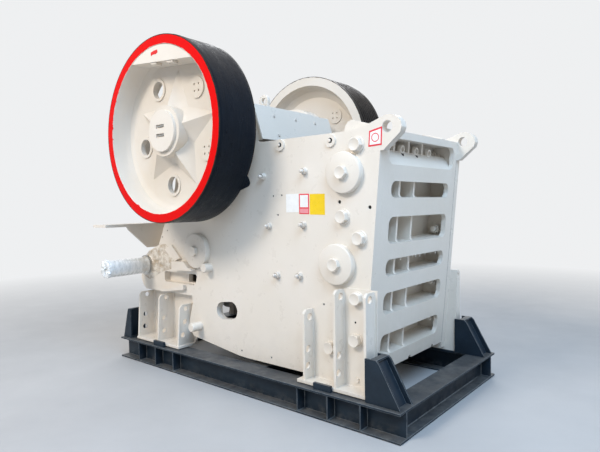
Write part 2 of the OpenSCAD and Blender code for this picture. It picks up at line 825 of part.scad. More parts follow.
module pitman() color(cream) difference() {
    union() {
        bar_y(ecc_x, ecc_z, barrel_r, -pitman_half, pitman_half);
        across(-pitman_half, pitman_half)
            polygon([[-300, 2414], [20, 2370], [jaw_x(2360) - 20 / jaw_cos, 2360],
                [jaw_x(jaw_top_z) - 20 / jaw_cos, jaw_top_z],
                [jaw_x(jaw_top_z) - die_thick / jaw_cos, jaw_top_z],
                [jaw_x(die_low) - die_thick / jaw_cos, die_low], [500, 440], [425, 440],
                [425, 560], [440, 590], [440, 690], [400, 800], [60, 1450], [-420, 1815]]);
    }
    bar_y(ecc_x, ecc_z, eccentric_r + running_fit, -pitman_half - eps, pitman_half + eps);
    for (y = [for (k = [0:2]) -pitman_half + 40 + k * (pocket_width + 35)])
        across(y, y + pocket_width)
            polygon([[460, 760], [jaw_x(760) - pitman_wall, 760],
                [jaw_x(1740) - pitman_wall, 1740], [-350, 1740], [20, 1440]]);
}

module pitman_guard() color(cream) on_jaw()
    along(-guard_thick + running_fit, running_fit)
        polygon([[-guard_half, 4], [guard_far, 4], [guard_far, 120], [guard_far - 12, 205],
            [guard_far - 42, 268], [guard_far - 92, guard_high], [guard_far - 120, guard_high + 4],
            [-guard_half, guard_high + 4]]);

// Lifting eye on its foot plate on top of the barrel
module pitman_eye() color(cream) {
    low = ecc_z + sqrt(pow(barrel_r + curve_fit, 2) - pow(eye_x + 50 - ecc_x, 2)) + 6;
    difference() {
        union() {
            bar_y(eye_x, eye_z, 57, -eye_half, eye_half);
            across(-eye_half, eye_half)
                polygon([[eye_x - 50, low + 20], [eye_x - 50, eye_z], [eye_x + 50, eye_z],
                    [eye_x + 50, low + 20]]);
            translate([eye_x - 80, -60, low]) cube([160, 120, 24]);
        }
        bar_y(eye_x, eye_z, 28, -eye_half - eps, eye_half + eps);
        bar_y(ecc_x, ecc_z, barrel_r + curve_fit, -61, 61);
    }
}

// Toothed plate: back at X = 0, teeth toward +X, Z along the jaw
module toothed(length, teeth) {
    pitch = 2 * die_half / teeth;
    root = die_thick - tooth_depth;
    linear_extrude(length) polygon(concat([[0, -die_half]],
        [for (k = [0:teeth - 1]) each [[root, -die_half + k * pitch],
            [die_thick, -die_half + (k + 0.35) * pitch],
            [die_thick, -die_half + (k + 0.65) * pitch]]],
        [[root, die_half], [0, die_half]]));
}

module moving_jaw_die() color(bare) on_jaw()
    translate([-die_thick, 0, -(jaw_top_z - die_low) / jaw_cos])
        toothed((jaw_top_z - 20 - die_low) / jaw_cos, 10);

module fixed_jaw_die() color(bare) on_wall()
    translate([-wall_depth, 0, die_low / wall_cos]) mirror([1, 0, 0])
        toothed((wall_high - 18 - die_low) / wall_cos, 10);

module cheeks() {
    for (band = [[1565, 1990], [1165, 1555], [780, 1155]])
        across(-side_in, -housing_in)
            polygon([[jaw_x(band[0]) - 120, band[0]], [wall_x(band[0]) - fixed_face + 20, band[0]],
                [wall_x(band[1]) - fixed_face + 20, band[1]],
                [jaw_x(band[1]) - 120, band[1]]]);
}

module cheek_plates_near() color(bare) cheeks();

module cheek_plates_far() color(bare) far_side() cheeks();

module toggle_plate() color(bare) {
    bar_y(-322, 905, knuckle_r, -toggle_half, toggle_half);
    across(-toggle_half, toggle_half)
        polygon([[-320, 868], [372, 614], [398, 682], [-305, 938]]);
    bar_y(440 - pivot_gap - knuckle_r, 650, knuckle_r, -toggle_half, toggle_half);
}

module tension_rod() color(bare) {
    bar_x(0, rod_z, rod_r, -1010, 425);
    hex_x(0, rod_z, 56, -985, -940);
    across(-60, 60) polygon([[395, 470], [395, 555], [425, 555], [425, 470]]);
}

// Six sided nut along X
module hex_x(y, z, r, x0, x1) {
    translate([x0, y, z]) rotate([0, 90, 0]) cylinder(h = x1 - x0, r = r, $fn = 6);
}

module spring_case() color(bare) difference() {
    bar_x(0, rod_z + throw, 85, -900, -700);
    bar_x(0, rod_z + throw, rod_r + throw + 6, -901, -699);
}

module cylinder_unit() {
    bar_y(cylinder_x, cylinder_z, cylinder_r, -cylinder_out, -frame_half - 36 + eps);
    bar_y(cylinder_x, cylinder_z, cylinder_r + 25, -frame_half - 36, -frame_half);
}

module adjust_cylinder_near() color(bare) cylinder_unit();

module adjust_cylinder_far() color(bare) far_side() cylinder_unit();

skid_beam_near();
skid_beam_far();
skid_end_front();
skid_end_rear();
skid_cross_beam();
skid_stops_front();
skid_stops_rear();
skid_blocks();
side_plate_near();
side_plate_far();
front_frame();
rear_frame();
motor_bracket();
foot_front_near();
foot_front_far();
foot_rear_near();
foot_rear_far();
cover_discs();
frame_bolts_near();
frame_bolts_far();
liner_studs();
bearing_housing_near();
bearing_housing_far();
eccentric_shaft();
flywheel_near();
flywheel_far();
counterweight_near();
counterweight_far();
hub_cap_near();
hub_cap_far();
pitman();
pitman_guard();
pitman_eye();
moving_jaw_die();
fixed_jaw_die();
cheek_plates_near();
cheek_plates_far();
toggle_plate();
tension_rod();
spring_case();
adjust_cylinder_near();
adjust_cylinder_far();
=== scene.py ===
"""Jaw crusher on its transport skid: its finish and small pieces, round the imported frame."""
import math

import bmesh
import bpy
from bpy.props import FloatProperty, FloatVectorProperty, PointerProperty
from mathutils import Matrix, Vector, noise


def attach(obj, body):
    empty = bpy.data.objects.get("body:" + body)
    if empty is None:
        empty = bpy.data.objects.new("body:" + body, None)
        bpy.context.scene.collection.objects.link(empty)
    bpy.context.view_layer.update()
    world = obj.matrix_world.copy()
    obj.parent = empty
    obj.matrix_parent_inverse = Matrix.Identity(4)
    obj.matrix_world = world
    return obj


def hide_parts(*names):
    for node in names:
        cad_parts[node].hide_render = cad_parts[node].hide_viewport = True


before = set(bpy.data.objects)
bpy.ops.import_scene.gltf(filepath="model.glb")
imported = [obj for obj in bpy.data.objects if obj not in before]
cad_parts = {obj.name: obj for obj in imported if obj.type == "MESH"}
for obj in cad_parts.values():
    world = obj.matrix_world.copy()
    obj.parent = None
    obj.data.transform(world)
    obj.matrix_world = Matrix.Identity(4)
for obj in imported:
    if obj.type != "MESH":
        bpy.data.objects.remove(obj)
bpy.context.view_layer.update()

bl_info = {
    "name": "Jaw crusher",
    "version": (1, 0, 0),
    "blender": (4, 5, 0),
    "location": "3D View > Sidebar > Crusher",
    "description": "Paints and dresses a jaw crusher on its skid",
    "category": "Object",
}

# The machine's own lines, in metres, in the frame of the CAD
SHAFT = Vector((-0.428, 0.0, 2.140))
SIDE_FACE = 0.6515
FOOT_FACE = 0.6635
CASTING_FACE = 0.5865
WALL_NUT_FACE = 0.5565
WHEEL_RADIUS = 0.756
RIM_INNER = 0.681
WHEEL_IN, WHEEL_OUT = 0.765, 1.140
WALL_FOOT = 1.1952
WALL_SLOPE = 0.0901
WALL_LEAN = math.atan(WALL_SLOPE)
JAW_LEAN = math.atan(0.34)
GUARD_FOOT = (0.196, 2.061)
SKID_WEB_OUT, SKID_WEB_IN, SKID_FLANGE = 0.750, 0.740, 0.830
CHORD_ANGLE = 6.0
CHORD = 0.546
SIDES = (("near", -1), ("far", 1))

# Places of bolts and holes as x and z, some with a radius or a length
DISC_SPOTS = ((1.082, 1.735, 0.146), (1.009, 1.087, 0.146), (-0.552, 1.113, 0.157))
HEX_SPOTS = ((1.181, 1.922), (1.058, 1.426), (1.197, 1.276))
FOOT_HEX_SPOTS = ((1.176, 0.858), (1.165, 0.564), (0.946, 0.479))
PIN_SPOTS = ((-0.398, 0.970, 0.080), (-0.552, 0.425, 0.112))
SOCKET_SPOTS = ((0.473, 1.979), (0.958, 1.969))
SMALL_SPOTS = ((0.388, 1.588, 0.008), (0.478, 1.592, 0.008), (0.435, 1.439, 0.008),
               (1.028, 1.531, 0.013), (1.279, 1.491, 0.013), (-0.010, 0.287, 0.008),
               (0.335, 0.288, 0.008), (-1.017, 1.289, 0.008), (-1.100, 1.224, 0.008))
FOOT_HOLE_SPOTS = ((0.884, 0.785, 0.008), (1.158, 0.687, 0.008))
STUD_SPOTS = ((0.285, 1.746), (0.712, 1.765), (0.341, 1.352), (0.694, 1.366),
              (0.422, 0.964), (0.650, 0.977))
WALL_NUT_SPOTS = ((1.181, 1.915), (1.197, 1.290), (1.166, 0.835), (1.155, 0.520))

# Guard bolts: distance along the plate, then the places across it
GUARD_ROWS = ((0.232, (-0.337, -0.049, 0.231)), (0.052, (-0.340, 0.0)))

# Gussets as x, foot and top; pads as their two ends in x
FRONT_GUSSETS = ((0.784, 0.208, 0.745), (1.063, 0.208, 0.917), (1.314, 0.208, 0.917))
REAR_GUSSETS = ((-1.362, 0.208, 0.672), (-1.035, 0.208, 0.672), (-0.723, 0.208, 0.605))
FRONT_PAD = (0.712, 1.316)
REAR_PAD = (-1.382, -0.712)

# Adjusting cylinder's axis, its wrap, and the outline of the film at its root
CYLINDER = (-1.350, 0.937)
WRAP_RADIUS, WRAP_START, WRAP_LONG = 0.080, 0.690, 0.428
FILM_BORE = 0.0805
FILM_EDGE = ((-1.20, 0.845), (-1.33, 0.79), (-1.455, 0.84), (-1.440, 0.935), (-1.408, 1.00),
             (-1.376, 1.03), (-1.325, 1.072), (-1.210, 1.115), (-1.155, 1.138), (-1.05, 1.160),
             (-0.97, 1.12), (-0.93, 1.04), (-0.90, 0.98), (-0.93, 0.925), (-1.03, 0.905),
             (-1.10, 0.885))

# Blank plates: piece, finish, whether it lies on another plate, and its corners
FIELD_THICK = 0.0006
PLATES = (
    ("white_plate", "white plate", False,
     ((0.523, 1.458), (0.647, 1.460), (0.647, 1.600), (0.523, 1.598))),
    ("red_border_plate", "red plate", False,
     ((0.654, 1.446), (0.750, 1.445), (0.750, 1.597), (0.654, 1.598))),
    ("red_border_field", "white plate", True,
     ((0.663, 1.497), (0.741, 1.496), (0.741, 1.588), (0.663, 1.589))),
    ("red_border_foot", "rose plate", True,
     ((0.661, 1.453), (0.743, 1.452), (0.743, 1.486), (0.661, 1.487))),
    ("yellow_plate", "amber plate", False,
     ((0.757, 1.442), (0.897, 1.440), (0.897, 1.593), (0.757, 1.595))),
    ("lug_plate", "red plate", False,
     ((1.272, 1.898), (1.376, 1.903), (1.381, 2.025), (1.280, 2.004))),
    ("lug_plate_field", "white plate", True,
     ((1.282, 1.909), (1.367, 1.913), (1.371, 2.011), (1.289, 1.994))),
)

# Lamps: name, place, aim, size, watts and colour
LAMPS = (
    ("high lamp", (-1.6, -8.5, 7.5), (0.0, 0.0, 1.1), (3.0, 3.0), 725.0, (1.0, 0.925, 0.845)),
    ("wall lamp", (5.1, -2.8, 6.9), (0.2, 0.0, 1.2), (5.0, 4.0), 590.0, (0.50, 0.72, 1.0)),
    ("back lamp", (-5.0, 8.0, 6.0), (0.0, 0.0, 1.2), (6.0, 5.0), 300.0, (0.95, 0.97, 1.0)),
)
SKY = (0.84, 0.91, 1.0)
SKY_STRENGTH = 0.47
BACKDROP = (0.86, 0.87, 0.88)
CAMERA_PLACE = (3.1514, -3.6245, 1.5184)
CAMERA_TURN = (39.988, 2.74, -0.974)
CAMERA_SHIFT = 2.985 / 600.0


# ---------------------------------------------------------------- settings

def shade(name, text, default):
    return FloatVectorProperty(name=name, description=text, default=default,
                               subtype="COLOR", size=3, min=0.0, max=1.0)


def length(name, text, default, low, high):
    return FloatProperty(name=name, description=text, default=default, min=low,
                         max=high, unit="LENGTH")


class CrusherPaints(bpy.types.PropertyGroup):
    cream: shade("Cream paint", "Gloss paint of the frame, the jaw and the wheels",
                 (0.74, 0.682, 0.606))
    red: shade("Red paint", "Paint of the near wheel's face ring", (0.72, 0.002, 0.002))
    slate: shade("Skid paint", "Paint of the skid", (0.012, 0.021, 0.032))
    dust: shade("Dust", "Dust on level faces near the floor", (0.30, 0.28, 0.25))
    film: shade("Black film", "Film wound on the near rim", (0.0016, 0.0028, 0.0060))
    rim: shade("Grooved rim", "Oiled iron of the grooved rim", (0.024, 0.019, 0.016))
    steel: shade("Bare steel", "Bright steel of studs and rods", (0.50, 0.50, 0.49))
    iron: shade("Jaw steel", "Cast manganese steel of the dies", (0.16, 0.155, 0.15))
    wrap: shade("Clear wrap", "Milky wrap round the adjusting cylinders",
                (0.70, 0.71, 0.72))
    amber: shade("Yellow plate", "Blank yellow plate", (0.88, 0.60, 0.008))
    floor: shade("Floor", "Pale concrete", (0.46, 0.455, 0.45))


class CrusherSizes(bpy.types.PropertyGroup):
    edge: length("Edge radius", "Rounding of plate edges", 0.0025, 0.0005, 0.01)
    cast_edge: length("Casting radius", "Rounding of cast edges", 0.007, 0.001, 0.02)
    film_thick: length("Film stand-off", "Height of the film over the rim", 0.003,
                       0.001, 0.01)
    weld: length("Weld leg", "Leg of the fillet welds", 0.008, 0.003, 0.02)
    plate_thick: length("Plate thickness", "Thickness of the stuck-on plates", 0.0012,
                        0.0005, 0.005)


class CrusherStage(bpy.types.PropertyGroup):
    lens: FloatProperty(name="Lens", description="Focal length of the camera in mm",
                        default=30.795, min=10.0, max=200.0)
    floor_size: length("Floor size", "Side of the floor", 60.0, 5.0, 200.0)


# ---------------------------------------------------------------- materials

class Nodes:
    """Lays out the nodes of one tree; a value that is a socket is linked."""

    def __init__(self, tree):
        self.tree = tree

    def feed(self, socket, value):
        if isinstance(value, bpy.types.NodeSocket):
            self.tree.links.new(value, socket)
        elif value is not None:
            socket.default_value = value

    def feed_all(self, node, values):
        for socket, value in zip(node.inputs, values):
            self.feed(socket, value)

    def add(self, kind, **values):
        node = self.tree.nodes.new("ShaderNode" + kind)
        for key, value in values.items():
            if hasattr(node, key):
                setattr(node, key, value)
            else:
                self.feed(node.inputs[key.replace("_", " ")], value)
        return node

    def maths(self, kind, a, b=None):
        node = self.add("Math", operation=kind)
        self.feed_all(node, (a, b))
        return node.outputs["Value"]

    def mixed(self, factor, a, b):
        node = self.add("MixShader")
        self.feed_all(node, (factor, a, b))
        return node.outputs[0]

    def seen_directly(self):
        """1 for rays that show the backdrop, 0 for those that carry its light."""
        path = self.add("LightPath")
        total = path.outputs["Is Camera Ray"]
        for name in ("Is Glossy Ray", "Is Transmission Ray"):
            total = self.maths("MAXIMUM", total, path.outputs[name])
        return total


class Finish(Nodes):
    """Nodes of one finish, with its shader and the place on the machine."""

    def __init__(self, name):
        self.material = bpy.data.materials.new(name)
        self.material.use_nodes = True
        super().__init__(self.material.node_tree)
        self.shader = self.tree.nodes["Principled BSDF"]
        self.place = self.add("TexCoord").outputs["Object"]

    def stretched(self, x, y, z):
        return self.add("Mapping", Scale=(x, y, z), Vector=self.place).outputs["Vector"]

    def grain(self, scale, detail=4.0, rough=0.55, place=None):
        return self.add("TexNoise", Scale=scale, Detail=detail, Roughness=rough,
                        Vector=place or self.place).outputs["Fac"]

    def cells(self, scale, place=None):
        return self.add("TexVoronoi", Scale=scale,
                        Vector=place or self.place).outputs["Distance"]

    def spread(self, value, low, high, to_low=0.0, to_high=1.0):
        return self.add("MapRange", clamp=True, Value=value, From_Min=low, From_Max=high,
                        To_Min=to_low, To_Max=to_high).outputs["Result"]

    def mottle(self, grain, *levels):
        """Patches: a grain, given as its values, spread between levels."""
        return self.spread(self.grain(*grain), *levels)

    def lumps(self, grain, cell_scale, share):
        """Uneven skin of a casting."""
        return self.maths("ADD", self.grain(*grain),
                          self.maths("MULTIPLY", self.cells(cell_scale), share))

    def blend(self, factor, a, b):
        node = self.add("Mix", data_type="RGBA")
        for index, value in ((0, factor), (6, a), (7, b)):
            if not isinstance(value, (int, float, bpy.types.NodeSocket)):
                value = (*value, 1.0)
            self.feed(node.inputs[index], value)
        return node.outputs[2]

    def over(self, body, mask, share, colour):
        """The body with a share of a colour laid over it where the mask shows."""
        return self.blend(self.maths("MULTIPLY", mask, share), body, colour)

    def axis(self, name, vector=None):
        return self.add("SeparateXYZ", Vector=vector or self.place).outputs[name]

    def facing_up(self):
        return self.axis("Z", self.add("NewGeometry").outputs["Normal"])

    def bump(self, height, strength, depth, under=None):
        node = self.add("Bump", Strength=strength, Distance=depth, Height=height,
                        Normal=under)
        self.plain(Normal=node.outputs["Normal"])
        return node.outputs["Normal"]

    def plain(self, **values):
        for key, value in values.items():
            self.feed(self.shader.inputs[key.replace("_", " ")], value)

    def colour(self, source):
        self.plain(Base_Color=source)

    def rough(self, source):
        self.plain(Roughness=source)


def tone(colour, *factors):
    """A colour times one factor, or times one each for red, green and blue."""
    each = factors if len(factors) == 3 else factors * 3
    return tuple(min(1.0, c * factor) for c, factor in zip(colour, each))


def cream_paint(name, paints, cast=0.0):
    """Gloss cream paint, rolled on plate or sprayed over a casting."""
    n = Finish(name)
    cream = paints.cream
    body = n.blend(n.mottle((1.6, 5.0), 0.35, 0.68), tone(cream, 1.015),
                   tone(cream, 0.975, 0.965, 0.94))
    runs = n.mottle((7.0, 6.0, 0.6, n.stretched(1.0, 1.0, 0.12)), 0.60, 0.78)
    body = n.over(body, runs, 0.22, tone(cream, 0.90, 0.87, 0.82))
    specks = n.mottle((55.0, 3.0, 0.7), 0.70, 0.80)
    body = n.over(body, specks, 0.35, tone(cream, 0.70, 0.66, 0.60))
    dirt = n.maths("MULTIPLY", n.spread(n.axis("Z"), 0.20, 0.75, 1.0, 0.0),
                   n.mottle((9.0, 6.0, 0.65), 0.45, 0.75))
    body = n.over(body, dirt, 0.16, paints.dust)
    level = n.maths("MULTIPLY", n.spread(n.facing_up(), 0.8, 1.0),
                    n.mottle((14.0, 6.0, 0.7), 0.35, 0.75, 0.15, 0.6))
    n.colour(n.over(body, level, 0.45, tone(cream, 0.74, 0.72, 0.68)))
    n.rough(n.mottle((12.0, 5.0, 0.6), 0.3, 0.7, 0.24 + 0.1 * cast, 0.42 + 0.1 * cast))
    first = n.bump(n.grain(160.0, 2.0), 0.10, 0.0006)
    if cast:
        n.bump(n.lumps((22.0, 5.0, 0.62), 70.0, 0.25), 0.35 * cast, 0.004, first)
    n.plain(Coat_Weight=0.25, Coat_Roughness=0.12, Specular_IOR_Level=0.5)
    return n.material


def edge_paint(name, paints):
    """Thin, slightly darker paint and dirt at the worn corners of the cream plates."""
    n = Finish(name)
    n.colour(n.blend(n.mottle((45.0, 5.0, 0.7), 0.52, 0.70), tone(paints.cream, 1.03),
                     tone(paints.cream, 0.86, 0.83, 0.78)))
    n.rough(n.mottle((30.0,), 0.3, 0.7, 0.3, 0.5))
    return n.material


def wheel_paint(name, paints):
    """Wheel colours by place: red ring, cream inside, bare dark iron under the film."""
    n = Finish(name)
    cream, red = paints.cream, paints.red
    dx = n.maths("SUBTRACT", n.axis("X"), SHAFT.x)
    dz = n.maths("SUBTRACT", n.axis("Z"), SHAFT.z)
    radius = n.maths("SQRT", n.maths("ADD", n.maths("MULTIPLY", dx, dx),
                                     n.maths("MULTIPLY", dz, dz)))
    radius = n.maths("ADD", radius, n.mottle((16.0, 3.0), 0.3, 0.7, -0.002, 0.002))
    out = n.maths("GREATER_THAN", n.maths("ABSOLUTE", n.axis("Y")), WHEEL_OUT - 0.012)
    ring = n.maths("MULTIPLY", n.maths("GREATER_THAN", radius, RIM_INNER + 0.001), out)
    belts = n.maths("MULTIPLY", n.maths("GREATER_THAN", n.axis("Y"), WHEEL_IN + 0.034),
                    n.maths("LESS_THAN", n.axis("Y"), WHEEL_OUT - 0.010))
    edge = n.maths("SUBTRACT", WHEEL_RADIUS - 0.006, n.maths("MULTIPLY", belts, 0.020))
    body = n.blend(n.mottle((2.2, 5.0), 0.35, 0.68), tone(cream, 0.95),
                   tone(cream, 0.91, 0.895, 0.865))
    runs = n.mottle((9.0, 6.0, 0.6), 0.62, 0.80)
    body = n.over(body, runs, 0.18, tone(cream, 0.86, 0.83, 0.78))
    scuffs = n.mottle((30.0, 5.0, 0.65), 0.3, 0.8, 0.86, 1.06)
    near = n.maths("LESS_THAN", n.axis("Y"), 0.0)
    body = n.over(body, ring, near, n.blend(scuffs, tone(red, 0.82), red))
    rims = n.blend(n.mottle((24.0, 5.0), 0.3, 0.7), tone(paints.rim, 0.7),
                   tone(paints.rim, 1.5))
    n.colour(n.blend(n.maths("GREATER_THAN", radius, edge), body, rims))
    n.rough(n.mottle((14.0, 5.0), 0.3, 0.7, 0.26, 0.44))
    first = n.bump(n.grain(150.0, 2.0), 0.1, 0.0006)
    n.bump(n.lumps((18.0, 5.0, 0.6), 60.0, 0.2), 0.22, 0.003, first)
    n.plain(Specular_IOR_Level=0.08)
    return n.material


def slate_paint(name, paints, worn=False):
    """Thin skid paint with floor dust; the worn kind is for the corners."""
    n = Finish(name)
    slate, dust = paints.slate, paints.dust
    body = n.blend(n.mottle((5.0, 6.0, 0.6), 0.35, 0.7), tone(slate, 0.85),
                   tone(slate, 1.35))
    scratch = n.mottle((26.0, 6.0, 0.7, n.stretched(0.25, 1.0, 2.5)), 0.64, 0.74)
    body = n.over(body, scratch, 0.35, tone(slate, 3.2))
    body = n.over(body, n.spread(n.facing_up(), 0.5, 0.95),
                  n.mottle((8.0, 6.0, 0.65), 0.25, 0.75, 0.10, 0.55), tone(dust, 0.62))
    low = n.maths("MULTIPLY", n.spread(n.axis("Z"), 0.0, 0.09, 1.0, 0.0),
                  n.mottle((15.0, 6.0, 0.7), 0.45, 0.75))
    body = n.over(body, low, 0.4, tone(dust, 0.8))
    if worn:
        body = n.blend(n.mottle((20.0, 5.0, 0.7), 0.30, 0.62, 0.15, 0.75), body,
                       (0.20, 0.215, 0.22))
    n.colour(body)
    n.rough(n.mottle((18.0, 5.0, 0.6), 0.3, 0.75, 0.34, 0.58))
    n.bump(n.grain(120.0, 4.0, 0.6), 0.14, 0.001)
    n.plain(Specular_IOR_Level=0.22)
    return n.material


def black_film(name, paints):
    """Stretch film: deep gloss with wind lines and lighter streaks of painted bluish sheen,
    bluish low down and brownish at the top.
    """
    n = Finish(name)
    body = n.blend(n.spread(n.axis("Z"), 2.30, 2.85), paints.film, (0.009, 0.005, 0.004))
    # The lighter bluish streaks laid over the film are painted sheen.
    painted_bluish_sheen = n.mottle((6.0, 5.0, 0.6, n.stretched(1.0, 4.0, 1.0)), 0.45, 0.8)
    n.colour(n.over(body, painted_bluish_sheen, 0.4, (0.006, 0.010, 0.017)))
    n.rough(n.mottle((9.0, 6.0, 0.65, n.stretched(1.0, 3.0, 1.0)), 0.3, 0.75, 0.22, 0.50))
    first = n.bump(n.grain(14.0, 5.0, 0.6, n.stretched(0.6, 9.0, 0.6)), 0.35, 0.006)
    n.bump(n.grain(5.0, 4.0, 0.6), 0.4, 0.012, first)
    n.plain(Coat_Weight=0.04, Coat_Roughness=0.08, Specular_IOR_Level=0.16,
            Specular_Tint=(0.40, 0.66, 1.0, 1.0))
    return n.material


def milky_wrap(name, paints):
    """Clear wrap in several layers, milky where it is creased, brownish at the root."""
    n = Finish(name)
    creases = n.grain(17.0, 7.0, 0.68, n.stretched(1.0, 2.6, 1.0))
    body = n.blend(n.spread(creases, 0.30, 0.58), tone(paints.wrap, 0.86, 0.90, 0.90),
                   tone(paints.wrap, 1.32, 1.34, 1.34))
    root = n.maths("MULTIPLY",
                   n.spread(n.maths("ABSOLUTE", n.axis("Y")), 0.69, 0.80, 1.0, 0.0),
                   n.mottle((11.0, 5.0), 0.3, 0.6))
    n.colour(n.over(body, root, 0.75, (0.42, 0.33, 0.20)))
    n.rough(n.spread(creases, 0.3, 0.7, 0.12, 0.38))
    first = n.bump(creases, 0.45, 0.006)
    n.bump(n.cells(26.0, n.stretched(1.0, 0.6, 1.0)), 0.35, 0.006, first)
    n.plain(Coat_Weight=0.7, Coat_Roughness=0.08)
    return n.material


def creased_film_with_painted_light(name, paints):
    """Old clear film, brownish, with painted highlights pale along its folds and painted shade
    dark brown in its creases.
    """
    n = Finish(name)
    folds = n.grain(15.0, 7.0, 0.70)
    # Brownish film tone, with dark brown as painted crease shade and the light tone as painted
    # highlight.
    body = n.blend(n.spread(folds, 0.36, 0.58), (0.44, 0.34, 0.23),
                   tone(paints.wrap, 1.04, 0.95, 0.82))
    # Pale spots are painted highlights.
    pale = n.spread(n.cells(19.0), 0.02, 0.30, 1.0, 0.0)
    n.colour(n.over(body, pale, 0.5, tone(paints.wrap, 1.25, 1.20, 1.10)))
    n.rough(n.spread(folds, 0.3, 0.7, 0.12, 0.40))
    first = n.bump(folds, 0.5, 0.006)
    n.bump(n.cells(34.0), 0.35, 0.005, first)
    n.plain(Coat_Weight=0.6, Coat_Roughness=0.10)
    return n.material


def oversprayed(name, paints):
    """Bolts with a thin mist of cream paint over the bare steel."""
    n = Finish(name)
    mist = n.mottle((70.0, 5.0, 0.7), 0.40, 0.62, 0.70, 1.0)
    n.colour(n.blend(mist, (0.34, 0.34, 0.33), tone(paints.cream, 0.97)))
    n.rough(n.mottle((50.0, 4.0), 0.3, 0.7, 0.32, 0.55))
    n.bump(n.grain(200.0, 3.0), 0.2, 0.0005)
    n.plain(Metallic=0.1)
    return n.material


def bare_steel(name, paints):
    """Bright steel with a fine grain."""
    n = Finish(name)
    n.colour(n.blend(n.mottle((12.0, 5.0), 0.3, 0.7), tone(paints.steel, 0.78),
                     tone(paints.steel, 1.12)))
    n.rough(n.mottle((40.0, 5.0), 0.3, 0.7, 0.24, 0.40))
    n.bump(n.grain(120.0, 4.0, 0.6), 0.3, 0.0006)
    n.plain(Metallic=1.0)
    return n.material


def jaw_iron(name, paints):
    """Manganese steel as cast: dark, matt, with rusty patches."""
    n = Finish(name)
    body = n.blend(n.mottle((4.0, 6.0, 0.6), 0.35, 0.7), tone(paints.iron, 0.7),
                   tone(paints.iron, 1.3))
    rust = n.mottle((9.0, 7.0, 0.66), 0.56, 0.72)
    n.colour(n.over(body, rust, 0.5, (0.22, 0.10, 0.05)))
    n.rough(n.mottle((20.0, 5.0), 0.3, 0.7, 0.5, 0.8))
    n.bump(n.lumps((40.0, 6.0, 0.65), 90.0, 0.3), 0.5, 0.004)
    n.plain(Metallic=0.55)
    return n.material


def plate_print(name, colour, rough=0.30):
    """Stuck-on vinyl: one colour, a little faded and scuffed."""
    n = Finish(name)
    n.colour(n.blend(n.mottle((30.0, 5.0, 0.6), 0.3, 0.75), colour, tone(colour, 0.90)))
    n.rough(n.mottle((60.0, 4.0), 0.3, 0.7, rough * 0.8, rough * 1.4))
    n.bump(n.grain(90.0, 3.0), 0.08, 0.0005)
    return n.material


def floor_concrete(name, paints):
    """Pale concrete that fades into the backdrop away from the machine."""
    n = Finish(name)
    pale = paints.floor
    body = n.blend(n.mottle((0.9, 7.0, 0.6), 0.3, 0.72), tone(pale, 0.95), tone(pale, 1.05))
    specks = n.mottle((42.0, 6.0, 0.7), 0.58, 0.75)
    n.colour(n.over(body, specks, 0.3, tone(pale, 0.80)))
    n.rough(n.mottle((3.0, 5.0), 0.3, 0.7, 0.50, 0.72))
    n.bump(n.grain(60.0, 5.0), 0.08, 0.002)
    away = n.add("VectorMath", operation="LENGTH", Vector=n.place).outputs["Value"]
    far = n.maths("MULTIPLY", n.spread(away, 3.6, 9.0), n.seen_directly())
    glow = n.add("Emission", Color=(*BACKDROP, 1.0), Strength=1.0)
    n.feed(n.tree.nodes["Material Output"].inputs["Surface"],
           n.mixed(far, n.shader.outputs[0], glow.outputs[0]))
    return n.material


FINISHES = {}


# ---------------------------------------------------------------- mesh helpers

def round_off(obj, width, limit, segments):
    """Bevels the edges whose faces meet at more than the limit, in radians."""
    rounding = obj.modifiers.new("Rounded edges", "BEVEL")
    rounding.width = width
    rounding.segments = segments
    rounding.limit_method = "ANGLE"
    rounding.angle_limit = limit
    return rounding


def piece(name, mesh, finish, body="frame", sharp=35.0, bevel=0.0):
    """Turns a bmesh into an object that rides on a body."""
    bmesh.ops.recalc_face_normals(mesh, faces=mesh.faces)
    limit = math.radians(sharp)
    for edge in mesh.edges:
        edge.smooth = len(edge.link_faces) == 2 and edge.calc_face_angle(math.pi) < limit
    for face in mesh.faces:
        face.smooth = True
    data = bpy.data.meshes.new(name)
    mesh.to_mesh(data)
    mesh.free()
    data.materials.append(FINISHES[finish])
    obj = bpy.data.objects.new(name, data)
    bpy.context.scene.collection.objects.link(obj)
    if bevel:
        round_off(obj, bevel, limit, 2)
    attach(obj, body)
    return obj


def both(*kinds):
    """Names of the near and the far node of each kind."""
    return [kind + "_" + label for kind in kinds for label, _ in SIDES]


def dress(names, finish, width=0.0, worn=None, angle=30.0, parts=2):
    """Gives CAD nodes their finish, round edges and, where asked, worn corners."""
    for name in names:
        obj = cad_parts[name]
        for entry in obj.material_slots:
            entry.material = FINISHES[finish]
        if not width:
            continue
        obj.modifiers.new("Joined", "WELD").merge_threshold = 0.00002
        rounding = round_off(obj, width, math.radians(angle), parts)
        if worn:
            obj.data.materials.append(FINISHES[worn])
            rounding.material = len(obj.data.materials) - 1
        obj.modifiers.new("Even shading", "WEIGHTED_NORMAL").keep_sharp = False


def skin(mesh, rings):
    """Faces between following rings; a ring of one point closes like a cone."""
    for low, high in zip(rings, rings[1:]):
        steps = max(len(low), len(high))
        for k in range(steps):
            j = (k + 1) % steps
            if len(low) == 1:
                mesh.faces.new((low[0], high[k], high[j]))
            elif len(high) == 1:
                mesh.faces.new((low[k], high[0], low[j]))
            else:
                mesh.faces.new((low[k], high[k], high[j], low[j]))


def circle(mesh, centre, side, up, radius, steps):
    """Ring of points; the radius is a number or depends on the angle."""
    ring = []
    for k in range(steps):
        a = 2.0 * math.pi * k / steps
        r = radius(a) if callable(radius) else radius
        ring.append(mesh.verts.new(centre + (side * math.cos(a) + up * math.sin(a)) * r))
    return ring


def lathe(mesh, profile, point, direction, steps=64):
    """Turns (distance along, radius) pairs round an axis; radius 0 closes an end."""
    along = Vector(direction).normalized()
    side = along.orthogonal().normalized()
    up = along.cross(side)
    skin(mesh, [circle(mesh, Vector(point) + along * distance, side, up, radius,
                       steps if radius else 1) for distance, radius in profile])


